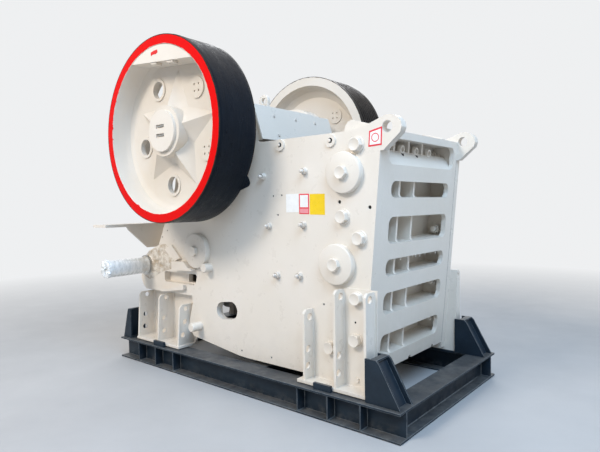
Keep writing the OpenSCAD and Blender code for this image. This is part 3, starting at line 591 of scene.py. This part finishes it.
def hex_head(mesh, point, direction, across, height, turn=0.0, steps=48):
    """Forged six sided head: flat sides, chamfered crown, slightly dished top."""
    along = Vector(direction).normalized()
    side = Vector((1, 0, 0)) if abs(along.x) < 0.9 else Vector((0, 0, 1))
    side = (side - along * side.dot(along)).normalized()
    up = along.cross(side)
    corner = across / 2.0
    flat = corner * math.cos(math.radians(30.0))
    crown = flat * 0.985
    rise = corner - crown
    dished = height - 0.0012
    levels = [(0.0, corner), (height - rise * 0.62, corner)]
    levels += [(height - rise * 0.58 * step, crown + rise * step)
               for step in (0.75, 0.5, 0.25, 0.0)]
    levels += [(height, crown * 0.93), (dished, crown * 0.88)]

    def reach(a, limit):
        local = (a + turn) % math.radians(60.0) - math.radians(30.0)
        return min(flat / math.cos(local), limit)

    rings = [circle(mesh, Vector(point) + along * distance, side, up,
                    lambda a: reach(a, limit), steps) for distance, limit in levels]
    skin(mesh, rings + [[mesh.verts.new(Vector(point) + along * dished)]])


def bolt_head(mesh, point, direction, washer, head, turn, round_steps=64, hex_steps=48):
    """Hex head, as width and height, on a washer, as radius, thickness and chamfer."""
    radius, thick, chamfer = washer
    lathe(mesh, ((0.0, radius), (thick - chamfer, radius), (thick, radius - chamfer),
                 (thick, 0.0)), point, direction, round_steps)
    hex_head(mesh, Vector(point) + Vector(direction) * thick, direction, *head, turn,
             hex_steps)


def tube(mesh, points, radius, steps=8, bulge=None):
    """Round bead or bar through points, closed at both ends."""
    rings = []
    for k, point in enumerate(points):
        before = points[max(0, k - 1)]
        after = points[min(len(points) - 1, k + 1)]
        along = (after - before).normalized()
        side = along.orthogonal().normalized()
        rings.append(circle(mesh, point, side, along.cross(side),
                            radius * (bulge(k) if bulge else 1.0), steps))
    for low, high in zip(rings, rings[1:]):
        turn = min(range(steps), key=lambda s: (low[0].co - high[s].co).length)
        skin(mesh, (low, high[turn:] + high[:turn]))
    for ring in (rings[0], rings[-1]):
        centre = sum((v.co for v in ring), Vector()) / steps
        skin(mesh, (ring, [mesh.verts.new(centre)]))


def weld(mesh, start, end, leg, pitch=0.012):
    """Fillet bead with ripples between two points."""
    start, end = Vector(start), Vector(end)
    count = max(4, int((end - start).length / pitch))
    points = [start.lerp(end, k / count) for k in range(count + 1)]
    tube(mesh, points, leg, 6, lambda k: 0.92 + 0.16 * ((k * 7919) % 5) / 4.0)


def slab(mesh, outline, y0, y1):
    """Outline in X and Z, filled between two Y values."""
    low, high = ([mesh.verts.new((x, y, z)) for x, z in outline] for y in (y0, y1))
    mesh.faces.new(low)
    mesh.faces.new(high)
    skin(mesh, (low, high))


def wheel_point(a, radius, y):
    """Point on a wheel; the angle runs from the top toward the front."""
    return Vector((SHAFT.x + radius * math.sin(a), y, SHAFT.z + radius * math.cos(a)))


def on_wall(depth, y, z):
    """Point at a height on the front wall, depth behind its face."""
    return Vector((WALL_FOOT + WALL_SLOPE * z - depth * math.cos(WALL_LEAN), y,
                   z + depth * math.sin(WALL_LEAN)))


def on_guard(y, along):
    """Point on the face of the guard plate, along it from its lower edge."""
    return Vector((GUARD_FOOT[0] - along * math.sin(JAW_LEAN), y,
                   GUARD_FOOT[1] + along * math.cos(JAW_LEAN)))


WALL_OUT = Vector((math.cos(WALL_LEAN), 0.0, -math.sin(WALL_LEAN)))
WALL_UP = Vector((math.sin(WALL_LEAN), 0.0, math.cos(WALL_LEAN)))
GUARD_OUT = Vector((math.cos(JAW_LEAN), 0.0, math.sin(JAW_LEAN)))


# ---------------------------------------------------------------- operators

class CRUSHER_OT_finishes(bpy.types.Operator):
    """Makes the paints, metals, films and other finishes"""
    bl_idname = "crusher.finishes"
    bl_label = "Finishes"

    def execute(self, context):
        p = context.scene.crusher_paints
        FINISHES.update({
            "cream": cream_paint("cream paint on plate", p),
            "cream cast": cream_paint("cream paint on casting", p, 1.0),
            "cream edge": edge_paint("cream paint at corners", p),
            "wheel": wheel_paint("wheel paint", p),
            "slate": slate_paint("skid paint", p),
            "slate edge": slate_paint("skid paint at corners", p, True),
            "film": black_film("black stretch film", p),
            "wrap": milky_wrap("milky wrap", p),
            "creased": creased_film_with_painted_light("creased film with painted highlights and shade", p),
            "steel": bare_steel("bare steel", p),
            "mist": oversprayed("oversprayed steel", p),
            "iron": jaw_iron("manganese steel", p),
            "red": plate_print("red paint mark", p.red),
            "white plate": plate_print("white plate", (0.86, 0.86, 0.84)),
            "amber plate": plate_print("yellow plate", p.amber),
            "red plate": plate_print("red plate", (0.75, 0.03, 0.05)),
            "rose plate": plate_print("rose plate", (0.80, 0.30, 0.33)),
            # Near-black finish for the painted shade inside holes, and for the dark seam line.
            "dark": plate_print("painted hole shade and seam line", (0.01, 0.01, 0.01), 0.8),
        })
        return {"FINISHED"}


class CRUSHER_OT_frame_nodes(bpy.types.Operator):
    """Paints the plates and castings of the frame and rounds their edges"""
    bl_idname = "crusher.frame_nodes"
    bl_label = "Frame paint"

    def execute(self, context):
        s = context.scene.crusher_sizes
        dress(both("side_plate"), "cream", 0.004, "cream edge")
        dress(["motor_bracket", "pitman_guard"] + both("foot_front", "foot_rear"), "cream",
              s.edge, "cream edge")
        dress(["front_frame"], "cream cast", s.cast_edge, None, 35.0, 3)
        dress(["rear_frame", "pitman"] + both("bearing_housing"), "cream cast", 0.006, None,
              35.0, 3)
        dress(["pitman_eye"], "cream cast", 0.004, None, 35.0, 3)
        dress(["moving_jaw_die", "fixed_jaw_die"], "iron", 0.008, None, 25.0, 3)
        dress(both("cheek_plates"), "iron", 0.004)
        dress(["toggle_plate"], "iron", 0.003)
        dress(["eccentric_shaft", "tension_rod", "spring_case"] + both("adjust_cylinder"),
              "steel", 0.003)
        return {"FINISHED"}


class CRUSHER_OT_skid_nodes(bpy.types.Operator):
    """Paints the skid, its stops and its locating bars"""
    bl_idname = "crusher.skid_nodes"
    bl_label = "Skid paint"

    def execute(self, context):
        s = context.scene.crusher_sizes
        dress(both("skid_beam") + ["skid_end_front", "skid_end_rear", "skid_cross_beam",
                                   "skid_stops_front", "skid_stops_rear"],
              "slate", s.edge, "slate edge")
        dress(["skid_blocks"], "slate", 0.003)
        return {"FINISHED"}


class CRUSHER_OT_wheel_nodes(bpy.types.Operator):
    """Paints both flywheels, their counterweights and caps"""
    bl_idname = "crusher.wheel_nodes"
    bl_label = "Wheel paint"

    def execute(self, context):
        dress(["flywheel_near"], "wheel", 0.004, None, 35.0, 3)
        dress(["flywheel_far"], "wheel")
        dress(both("counterweight"), "cream cast", 0.004, None, 35.0)
        dress(both("hub_cap"), "cream cast", 0.003, None, 35.0)
        return {"FINISHED"}


class CRUSHER_OT_covers(bpy.types.Operator):
    """Builds the cover discs and the bolts that hold the frame together"""
    bl_idname = "crusher.covers"
    bl_label = "Covers and bolts"

    def execute(self, context):
        discs = bmesh.new()
        for _, side in SIDES:
            out = Vector((0, side, 0))
            for x, z, r in DISC_SPOTS:
                lathe(discs, ((0.0, r), (0.037, r), (0.0405, r - 0.001), (0.0435, r - 0.0035),
                              (0.045, r - 0.0075), (0.045, 0.0)),
                      (x, side * SIDE_FACE, z), out, 96)
                hex_head(discs, (x, side * (SIDE_FACE + 0.045), z), out, 0.100, 0.035,
                         math.radians(12.0 if x > 0 else 25.0))
        obj = piece("cover_discs_rounded", discs, "cream")
        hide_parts("cover_discs")
        for label, side in SIDES:
            out = Vector((0, side, 0))
            heads = bmesh.new()
            for k, (x, z) in enumerate(HEX_SPOTS):
                bolt_head(heads, (x, side * SIDE_FACE, z), out, (0.058, 0.008, 0.002),
                          (0.100, 0.037), math.radians(8.0 + 17.0 * k))
            for k, (x, z) in enumerate(FOOT_HEX_SPOTS):
                bolt_head(heads, (x, side * FOOT_FACE, z), out, (0.052, 0.008, 0.002),
                          (0.096, 0.037), math.radians(20.0 - 9.0 * k))
            for x, z, long in PIN_SPOTS:
                lathe(heads, ((0.0, 0.040), (long - 0.008, 0.040), (long - 0.003, 0.038),
                              (long, 0.034), (long, 0.0)), (x, side * SIDE_FACE, z), out)
            hex_head(heads, (1.172, side * FOOT_FACE, 0.284), out, 0.036, 0.016, 0.3, 24)
            bolt = piece("frame_bolt_heads_" + label, heads, "cream")
            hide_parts("frame_bolts_" + label)
        return {"FINISHED"}


class CRUSHER_OT_studs(bpy.types.Operator):
    """Builds the liner studs with nuts and threads"""
    bl_idname = "crusher.studs"
    bl_label = "Liner studs"

    def execute(self, context):
        thread = [(0.030, 0.0128)]
        for turn in range(7):
            thread += [(0.0315 + turn * 0.0035, 0.0112), (0.0332 + turn * 0.0035, 0.0130)]
        thread += [(0.0565, 0.0120), (0.058, 0.0100), (0.058, 0.0)]
        studs = bmesh.new()
        for _, side in SIDES:
            out = Vector((0, side, 0))
            for k, (x, z) in enumerate(STUD_SPOTS):
                base = (x, side * SIDE_FACE, z)
                bolt_head(studs, base, out, (0.030, 0.006, 0.001), (0.054, 0.025),
                          math.radians(11.0 * k), 32, 36)
                lathe(studs, thread, base, out, 24)
        obj = piece("liner_studs_threaded", studs, "mist", sharp=50.0)
        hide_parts("liner_studs")
        return {"FINISHED"}


class CRUSHER_OT_rim_film(bpy.types.Operator):
    """Winds the black film round the near wheel's rim, with its loose end"""
    bl_idname = "crusher.rim_film"
    bl_label = "Rim film"

    def execute(self, context):
        stand = context.scene.crusher_sizes.film_thick
        mesh = bmesh.new()
        around, across = 360, 22
        rings = []
        for j in range(across + 1):
            t = j / across
            y = -(WHEEL_IN + 0.004 + t * (WHEEL_OUT - WHEEL_IN - 0.009))
            ring = []
            for i in range(around):
                a = 2.0 * math.pi * i / around
                r = WHEEL_RADIUS - 0.001
                if j not in (0, across):
                    p = Vector((math.sin(a) * 3.0, y * 14.0, math.cos(a) * 3.0))
                    swell = noise.noise(p) * 0.0012 + noise.noise(p * 2.7) * 0.0005
                    r = WHEEL_RADIUS + stand - 0.0016 * math.sin(math.pi * t) + swell
                ring.append(mesh.verts.new(wheel_point(a, r, y)))
            rings.append(ring)
        skin(mesh, rings)
        piece("rim_film", mesh, "film", "rotor", 60.0)
        flap = bmesh.new()
        cols = []
        for i in range(13):
            t = i / 12.0
            arch = math.sin(math.pi * t)
            col = []
            for k in range(6):
                reach = k / 5.0
                ripple = 0.004 * math.sin(k * 1.9 + 9.0 * t) * reach
                r = WHEEL_RADIUS + 0.003 + reach * 0.012 * arch ** 0.5 + ripple
                y = -(WHEEL_IN + 0.030 - 0.075 * reach * (0.4 + 0.6 * arch))
                col.append(flap.verts.new(wheel_point(math.radians(121.0 + 10.0 * t), r, y)))
            cols.append(col)
        for a, b in zip(cols, cols[1:]):
            for k in range(5):
                flap.faces.new((a[k], a[k + 1], b[k + 1], b[k]))
        obj = piece("rim_film_end", flap, "film", "rotor", 60.0)
        obj.modifiers.new("Film thickness", "SOLIDIFY").thickness = 0.0008
        return {"FINISHED"}


class CRUSHER_OT_wheel_trim(bpy.types.Operator):
    """Adds the counterweight tabs, the red mark and the shaft keys"""
    bl_idname = "crusher.wheel_trim"
    bl_label = "Wheel trim"

    def execute(self, context):
        turn = Matrix.Rotation(math.radians(CHORD_ANGLE), 4, "Y")
        for label, side in SIDES:
            trim = bmesh.new()
            for offset in (-0.10, 0.12):
                centre = turn @ Vector((offset, 0, CHORD - 0.008))
                made = bmesh.ops.create_cube(trim, size=1.0, matrix=Matrix.Translation(
                    SHAFT + centre + Vector((0, side * 1.10, 0))) @ turn
                    @ Matrix.Diagonal((0.085, 0.060, 0.020, 1.0)))
                bmesh.ops.bevel(trim, geom=list({e for v in made["verts"]
                                                 for e in v.link_edges}),
                                offset=0.005, segments=2, affect="EDGES")
            piece("counterweight_tabs_" + label, trim, "cream", "rotor")
            keys = bmesh.new()
            for low in (-0.052, 0.022):
                tube(keys, [SHAFT + Vector((x, side * 1.0985, low + 0.015 + lift))
                            for x, lift in ((-0.055, 0.0), (0.008, 0.0), (0.022, 0.004),
                                            (0.028, 0.014), (0.026, 0.026))], 0.0065, 12)
            piece("shaft_keys_" + label, keys, "steel", "rotor")
        mark = bmesh.new()
        outline = ((-0.060, 0.632), (-0.020, 0.640), (0.028, 0.641), (0.034, 0.618),
                   (0.010, 0.609), (-0.030, 0.612), (-0.058, 0.604))
        slab(mark, [(SHAFT.x + x, SHAFT.z + z) for x, z in outline], -1.1392, -1.1378)
        piece("paint_mark", mark, "red", "rotor")
        return {"FINISHED"}


class CRUSHER_OT_wall_trim(bpy.types.Operator):
    """Adds the nuts, rings, dark discs of painted shade in the small holes, drips and the seam
    round the wall
    """
    bl_idname = "crusher.wall_trim"
    bl_label = "Wall trim"

    def execute(self, context):
        nuts = bmesh.new()
        for _, side in SIDES:
            inward = Vector((0, -side, 0))
            for k, (x, z) in enumerate(WALL_NUT_SPOTS):
                base = (x, side * WALL_NUT_FACE, z)
                bolt_head(nuts, base, inward, (0.047, 0.008, 0.002), (0.084, 0.040),
                          0.4 * k, 48)
                lathe(nuts, ((0.046, 0.025), (0.080, 0.025), (0.084, 0.021), (0.084, 0.0)),
                      base, inward, 32)
        piece("wall_nuts", nuts, "cream")
        rings = bmesh.new()
        for y in (-0.195, 0.025, 0.245):
            lathe(rings, ((0.0, 0.036), (0.020, 0.034), (0.026, 0.030), (0.026, 0.019),
                          (0.006, 0.017), (0.006, 0.0)), on_wall(0.110, y, 1.905), WALL_OUT, 48)
        piece("wall_rings", rings, "cream cast")
        # The dark discs set just inside the wall holes, the socket rings and the small holes
        # paint the shade of those holes.
        holes, plugs = bmesh.new(), bmesh.new()
        slope = WALL_OUT * 0.106 + WALL_UP * 0.085
        for y in (-0.415, -0.195, 0.025):
            lathe(holes, ((0.0, 0.016), (0.0008, 0.015), (0.0008, 0.0)),
                  on_wall(0.0832, y, 1.870), slope, 24)
        for _, side in SIDES:
            out = Vector((0, side, 0))
            for x, z in SOCKET_SPOTS:
                lathe(holes, ((0.0, 0.0190), (0.0006, 0.0185), (0.0006, 0.0)),
                      (x + 0.004, side * (SIDE_FACE + 0.014), z), out, 40)
                lathe(plugs, ((0.0, 0.0125), (0.004, 0.012), (0.005, 0.010), (0.005, 0.0)),
                      (x - 0.003, side * (SIDE_FACE + 0.0142), z), out, 32)
            for spots, face in ((SMALL_SPOTS, SIDE_FACE - 0.005),
                                (FOOT_HOLE_SPOTS, FOOT_FACE - 0.003)):
                for x, z, r in spots:
                    lathe(holes, ((0.0, r - 0.0005), (0.0006, r - 0.0008), (0.0006, 0.0)),
                          (x, side * face, z), out, 32)
        piece("painted_hole_shade", holes, "dark")
        piece("socket_plugs", plugs, "cream")
        drips = bmesh.new()
        for k in range(11):
            y = -0.40 + 0.078 * k + 0.02 * math.sin(k * 5.0)
            long = 0.010 + 0.014 * abs(math.sin(k * 2.3))
            lathe(drips, ((0.0, 0.0045), (long * 0.5, 0.0026), (long * 0.85, 0.0030),
                          (long, 0.0)), on_wall(0.004 + 0.002 * (k % 3), y, 1.116),
                  (0, 0, -1), 12)
        piece("paint_drips", drips, "cream")
        seam = bmesh.new()
        section = ((0.001, 0.5858), (-0.0006, 0.5858), (-0.0006, 0.5878), (0.001, 0.5878))
        foot, top = ([seam.verts.new(on_wall(depth, y, z)) for depth, y in section]
                     for z in (0.30, 1.87))
        skin(seam, (foot, top))
        seam.faces.new(foot)
        seam.faces.new(top[::-1])
        piece("wall_seams", seam, "dark")
        return {"FINISHED"}


class CRUSHER_OT_guard_bolts(bpy.types.Operator):
    """Adds the small bolts of the pitman's guard plate"""
    bl_idname = "crusher.guard_bolts"
    bl_label = "Guard bolts"

    def execute(self, context):
        bolts = bmesh.new()
        for along, row in GUARD_ROWS:
            for k, y in enumerate(row):
                bolt_head(bolts, on_guard(y, along), GUARD_OUT, (0.015, 0.003, 0.001),
                          (0.024, 0.009), 0.4 * k, 24, 24)
        piece("guard_bolts", bolts, "mist", "jaw")
        return {"FINISHED"}


class CRUSHER_OT_plates(bpy.types.Operator):
    """Sticks the blank coloured plates on the near side plate"""
    bl_idname = "crusher.plates"
    bl_label = "Blank plates"

    def execute(self, context):
        plate = context.scene.crusher_sizes.plate_thick
        for name, finish, raised, outline in PLATES:
            base, thick = (SIDE_FACE + plate, FIELD_THICK) if raised else (SIDE_FACE, plate)
            mesh = bmesh.new()
            slab(mesh, outline, -base - thick, -base + 0.0005)
            piece(name, mesh, finish, bevel=0.0004)
        ring = bmesh.new()
        lathe(ring, ((0.0, 0.030), (0.0008, 0.030), (0.0008, 0.024), (0.0, 0.024)),
              (1.327, -SIDE_FACE - plate - 0.0004, 1.957), (0, -1, 0), 40)
        piece("lug_plate_ring", ring, "red plate")
        return {"FINISHED"}


class CRUSHER_OT_cylinder_wrap(bpy.types.Operator):
    """Wraps the adjusting cylinders in milky film with a ragged end"""
    bl_idname = "crusher.cylinder_wrap"
    bl_label = "Cylinder wrap"

    def execute(self, context):
        around, stations = 72, 54
        centre = Vector((CYLINDER[0], 0.0, CYLINDER[1]))
        for label, side in SIDES:
            mesh = bmesh.new()
            rings = []
            for j in range(stations + 1):
                t = j / stations
                y = WRAP_START + t * WRAP_LONG
                frill = max(0.0, (t - 0.86) / 0.14)
                flare = 0.012 * max(0.0, 1.0 - t / 0.10) ** 2
                band = 0.0014 * noise.noise(Vector((0.0, y * 40.0, side * 3.0)))
                ring = []
                for i in range(around):
                    a = 2.0 * math.pi * i / around
                    p = Vector((math.cos(a) * 1.8, y * 9.0, math.sin(a) * 1.8 + side * 7.0))
                    r = WRAP_RADIUS + flare + band + 0.0022 * noise.noise(p)
                    r += 0.0008 * noise.noise(p * 3.1)
                    r += frill * (0.004 + 0.016 * noise.noise(
                        Vector((a * 4.0, frill * 2.0, side * 5.0))))
                    wave = 0.010 * noise.noise(Vector((a * 2.5, 3.0, side))) if t > 0.95 else 0.0
                    ring.append(mesh.verts.new(centre + Vector((
                        r * math.cos(a), side * (y + wave), r * math.sin(a)))))
                rings.append(ring)
            for shrink, push in ((0.72, 0.006), (0.40, -0.008), (0.12, 0.004)):
                ring = []
                for i, v in enumerate(rings[-1]):
                    crumple = 0.008 * noise.noise(Vector((i * 0.7, shrink * 9.0, side)))
                    off = (v.co - centre) * shrink
                    off.y = v.co.y + side * (push + crumple)
                    ring.append(mesh.verts.new(centre + off))
                rings.append(ring)
            skin(mesh, rings)
            mesh.faces.new(rings[-1])
            piece("cylinder_wrap_" + label, mesh, "wrap", sharp=70.0)
        return {"FINISHED"}


class CRUSHER_OT_root_film(bpy.types.Operator):
    """Drapes creased film over the rear casting round each adjusting cylinder"""
    bl_idname = "crusher.root_film"
    bl_label = "Root film"

    def reach(self, way):
        """Distance from the cylinder's axis to the film's edge in one direction."""
        best = 0.1
        for start, end in zip(FILM_EDGE, FILM_EDGE[1:] + FILM_EDGE[:1]):
            p = Vector(start) - Vector(CYLINDER)
            q = Vector(end) - Vector(start)
            cross = way.cross(q)
            if abs(cross) > 1e-9:
                far, along = p.cross(q) / cross, p.cross(way) / cross
                if 0.0 <= along <= 1.0 and far > best:
                    best = far
        return best

    def execute(self, context):
        around, steps = 160, 44
        for label, side in SIDES:
            ways = []
            for i in range(around):
                a = 2.0 * math.pi * i / around
                way = Vector((math.cos(a), math.sin(a)))
                ragged = 1.0 + 0.04 * noise.noise(Vector((*(way * 5.0), side)))
                ways.append((way, self.reach(way) * ragged))
            mesh = bmesh.new()
            under, over = [], []
            for j in range(steps + 1):
                t = j / steps
                arch = math.sin(math.pi * min(1.0, 0.12 + t * 0.88))
                under.append([])
                over.append([])
                for way, edge in ways:
                    r = FILM_BORE + (edge - FILM_BORE) * t
                    fold = abs(noise.noise(Vector((*(way * 4.5), t * 1.6 + side * 4.0))))
                    fine = abs(noise.noise(Vector((*(way * r * 60.0), side * 2.0))))
                    lift = 0.0015 + (0.020 * fold + 0.008 * fine) * arch
                    lift += 0.044 * max(0.0, 1.0 - (r - FILM_BORE) / 0.050) ** 2
                    x, z = Vector(CYLINDER) + way * r
                    for ring, height in ((over[-1], lift), (under[-1], 0.0003)):
                        ring.append(mesh.verts.new((x, side * (SIDE_FACE + height), z)))
            for rings in (over, under, (over[0], under[0]), (over[-1], under[-1])):
                skin(mesh, rings)
            piece("root_film_" + label, mesh, "creased", sharp=60.0)
        return {"FINISHED"}


class CRUSHER_OT_welds(bpy.types.Operator):
    """Runs the fillet welds of the feet and the skid"""
    bl_idname = "crusher.welds"
    bl_label = "Welds"

    def execute(self, context):
        leg = context.scene.crusher_sizes.weld * 0.8
        foot = bmesh.new()
        for _, side in SIDES:
            for face, gussets, pad in ((FOOT_FACE, FRONT_GUSSETS, FRONT_PAD),
                                       (CASTING_FACE, REAR_GUSSETS, REAR_PAD)):
                y = side * face
                for x, low, top in gussets:
                    for edge in (x - 0.020, x):
                        weld(foot, (edge, y, low + 0.024), (edge, y, top - 0.004), leg)
                weld(foot, (pad[0] + 0.01, y, 0.231), (pad[1] - 0.01, y, 0.231), leg)
        piece("foot_welds", foot, "cream", sharp=80.0)
        leg = context.scene.crusher_sizes.weld * 0.7
        skid = bmesh.new()

        def upright(x, y):
            """Beads on both faces of a stiffener; gives back their places."""
            edges = (x - 0.005, x + 0.005)
            for edge in edges:
                weld(skid, (edge, y, 0.018), (edge, y, 0.182), leg)
            return edges

        for _, side in SIDES:
            web = side * SKID_WEB_OUT
            for group in (1.026, -1.009):
                for k in (-1, 0, 1):
                    for edge in upright(group + k * 0.273, web):
                        weld(skid, (edge, web, 0.016), (edge, side * SKID_FLANGE, 0.016), leg)
            for x in (1.510, -1.510, 0.181):
                upright(x, side * SKID_WEB_IN)
        for x in (1.515, -1.515):
            weld(skid, (x, -0.65, 0.017), (x, 0.65, 0.017), leg, 0.02)
        piece("skid_welds", skid, "slate edge", sharp=80.0)
        return {"FINISHED"}


class CRUSHER_OT_stage(bpy.types.Operator):
    """Lays the floor, sets the lamps and stands the camera"""
    bl_idname = "crusher.stage"
    bl_label = "Stage"

    def execute(self, context):
        scene = context.scene
        stage = scene.crusher_stage
        mesh = bmesh.new()
        bmesh.ops.create_grid(mesh, x_segments=2, y_segments=2, size=stage.floor_size / 2.0)
        data = bpy.data.meshes.new("floor")
        mesh.to_mesh(data)
        mesh.free()
        data.materials.append(floor_concrete("pale concrete", scene.crusher_paints))
        floor = bpy.data.objects.new("floor", data)
        floor.location.z = -0.001
        scene.collection.objects.link(floor)

        scene.world = bpy.data.worlds.new("studio")
        scene.world.use_nodes = True
        n = Nodes(scene.world.node_tree)
        n.tree.nodes.clear()
        sky = n.add("Background", Color=(*SKY, 1.0), Strength=SKY_STRENGTH)
        pale = n.add("Background", Color=(*BACKDROP, 1.0), Strength=1.0)
        n.add("OutputWorld", Surface=n.mixed(n.seen_directly(), sky.outputs[0],
                                             pale.outputs[0]))

        for name, place, aim, size, power, colour in LAMPS:
            light = bpy.data.lights.new(name, "AREA")
            light.shape = "RECTANGLE"
            light.size, light.size_y = size
            light.energy = power
            light.color = colour
            lamp = bpy.data.objects.new(name, light)
            lamp.location = place
            ray = Vector(aim) - Vector(place)
            lamp.rotation_euler = ray.to_track_quat("-Z", "Y").to_euler()
            scene.collection.objects.link(lamp)

        camera = bpy.data.cameras.new("camera")
        camera.sensor_width = 36.0
        camera.lens = stage.lens
        camera.shift_y = CAMERA_SHIFT
        camera.clip_end = 200.0
        yaw, pitch, roll = (math.radians(v) for v in CAMERA_TURN)
        ahead = Vector((-math.sin(yaw) * math.cos(pitch), math.cos(yaw) * math.cos(pitch),
                        -math.sin(pitch)))
        right = Vector((math.cos(yaw), math.sin(yaw), 0.0))
        up = right.cross(ahead)
        right, up = (right * math.cos(roll) + up * math.sin(roll),
                     up * math.cos(roll) - right * math.sin(roll))
        turn = Matrix((right, up, -ahead)).transposed().to_4x4()
        view = bpy.data.objects.new("camera", camera)
        view.matrix_world = Matrix.Translation(CAMERA_PLACE) @ turn
        scene.collection.objects.link(view)
        scene.camera = view
        scene.view_settings.view_transform = "Standard"
        return {"FINISHED"}


OPERATORS = (CRUSHER_OT_finishes, CRUSHER_OT_frame_nodes, CRUSHER_OT_skid_nodes,
             CRUSHER_OT_wheel_nodes, CRUSHER_OT_covers, CRUSHER_OT_studs,
             CRUSHER_OT_rim_film, CRUSHER_OT_wheel_trim, CRUSHER_OT_wall_trim,
             CRUSHER_OT_guard_bolts, CRUSHER_OT_plates, CRUSHER_OT_cylinder_wrap,
             CRUSHER_OT_root_film, CRUSHER_OT_welds, CRUSHER_OT_stage)


class CRUSHER_PT_panel(bpy.types.Panel):
    """Lists the sizes, the paints and the pieces"""
    bl_idname = "CRUSHER_PT_panel"
    bl_label = "Jaw crusher"
    bl_space_type = "VIEW_3D"
    bl_region_type = "UI"
    bl_category = "Crusher"

    def draw(self, context):
        scene = context.scene
        for group in (scene.crusher_paints, scene.crusher_sizes, scene.crusher_stage):
            column = self.layout.column(align=True)
            for name in group.__annotations__:
                column.prop(group, name)
        for operator in OPERATORS:
            self.layout.operator(operator.bl_idname)


GROUPS = (("crusher_paints", CrusherPaints), ("crusher_sizes", CrusherSizes),
          ("crusher_stage", CrusherStage))


def register():
    for name, group in GROUPS:
        bpy.utils.register_class(group)
        setattr(bpy.types.Scene, name, PointerProperty(type=group))
    for operator in OPERATORS:
        bpy.utils.register_class(operator)
    bpy.utils.register_class(CRUSHER_PT_panel)


def unregister():
    bpy.utils.unregister_class(CRUSHER_PT_panel)
    for operator in reversed(OPERATORS):
        bpy.utils.unregister_class(operator)
    for name, group in GROUPS:
        delattr(bpy.types.Scene, name)
        bpy.utils.unregister_class(group)


def main():
    register()
    for operator in OPERATORS:
        group, name = operator.bl_idname.split(".")
        getattr(getattr(bpy.ops, group), name)()


if __name__ == "__main__":
    main()
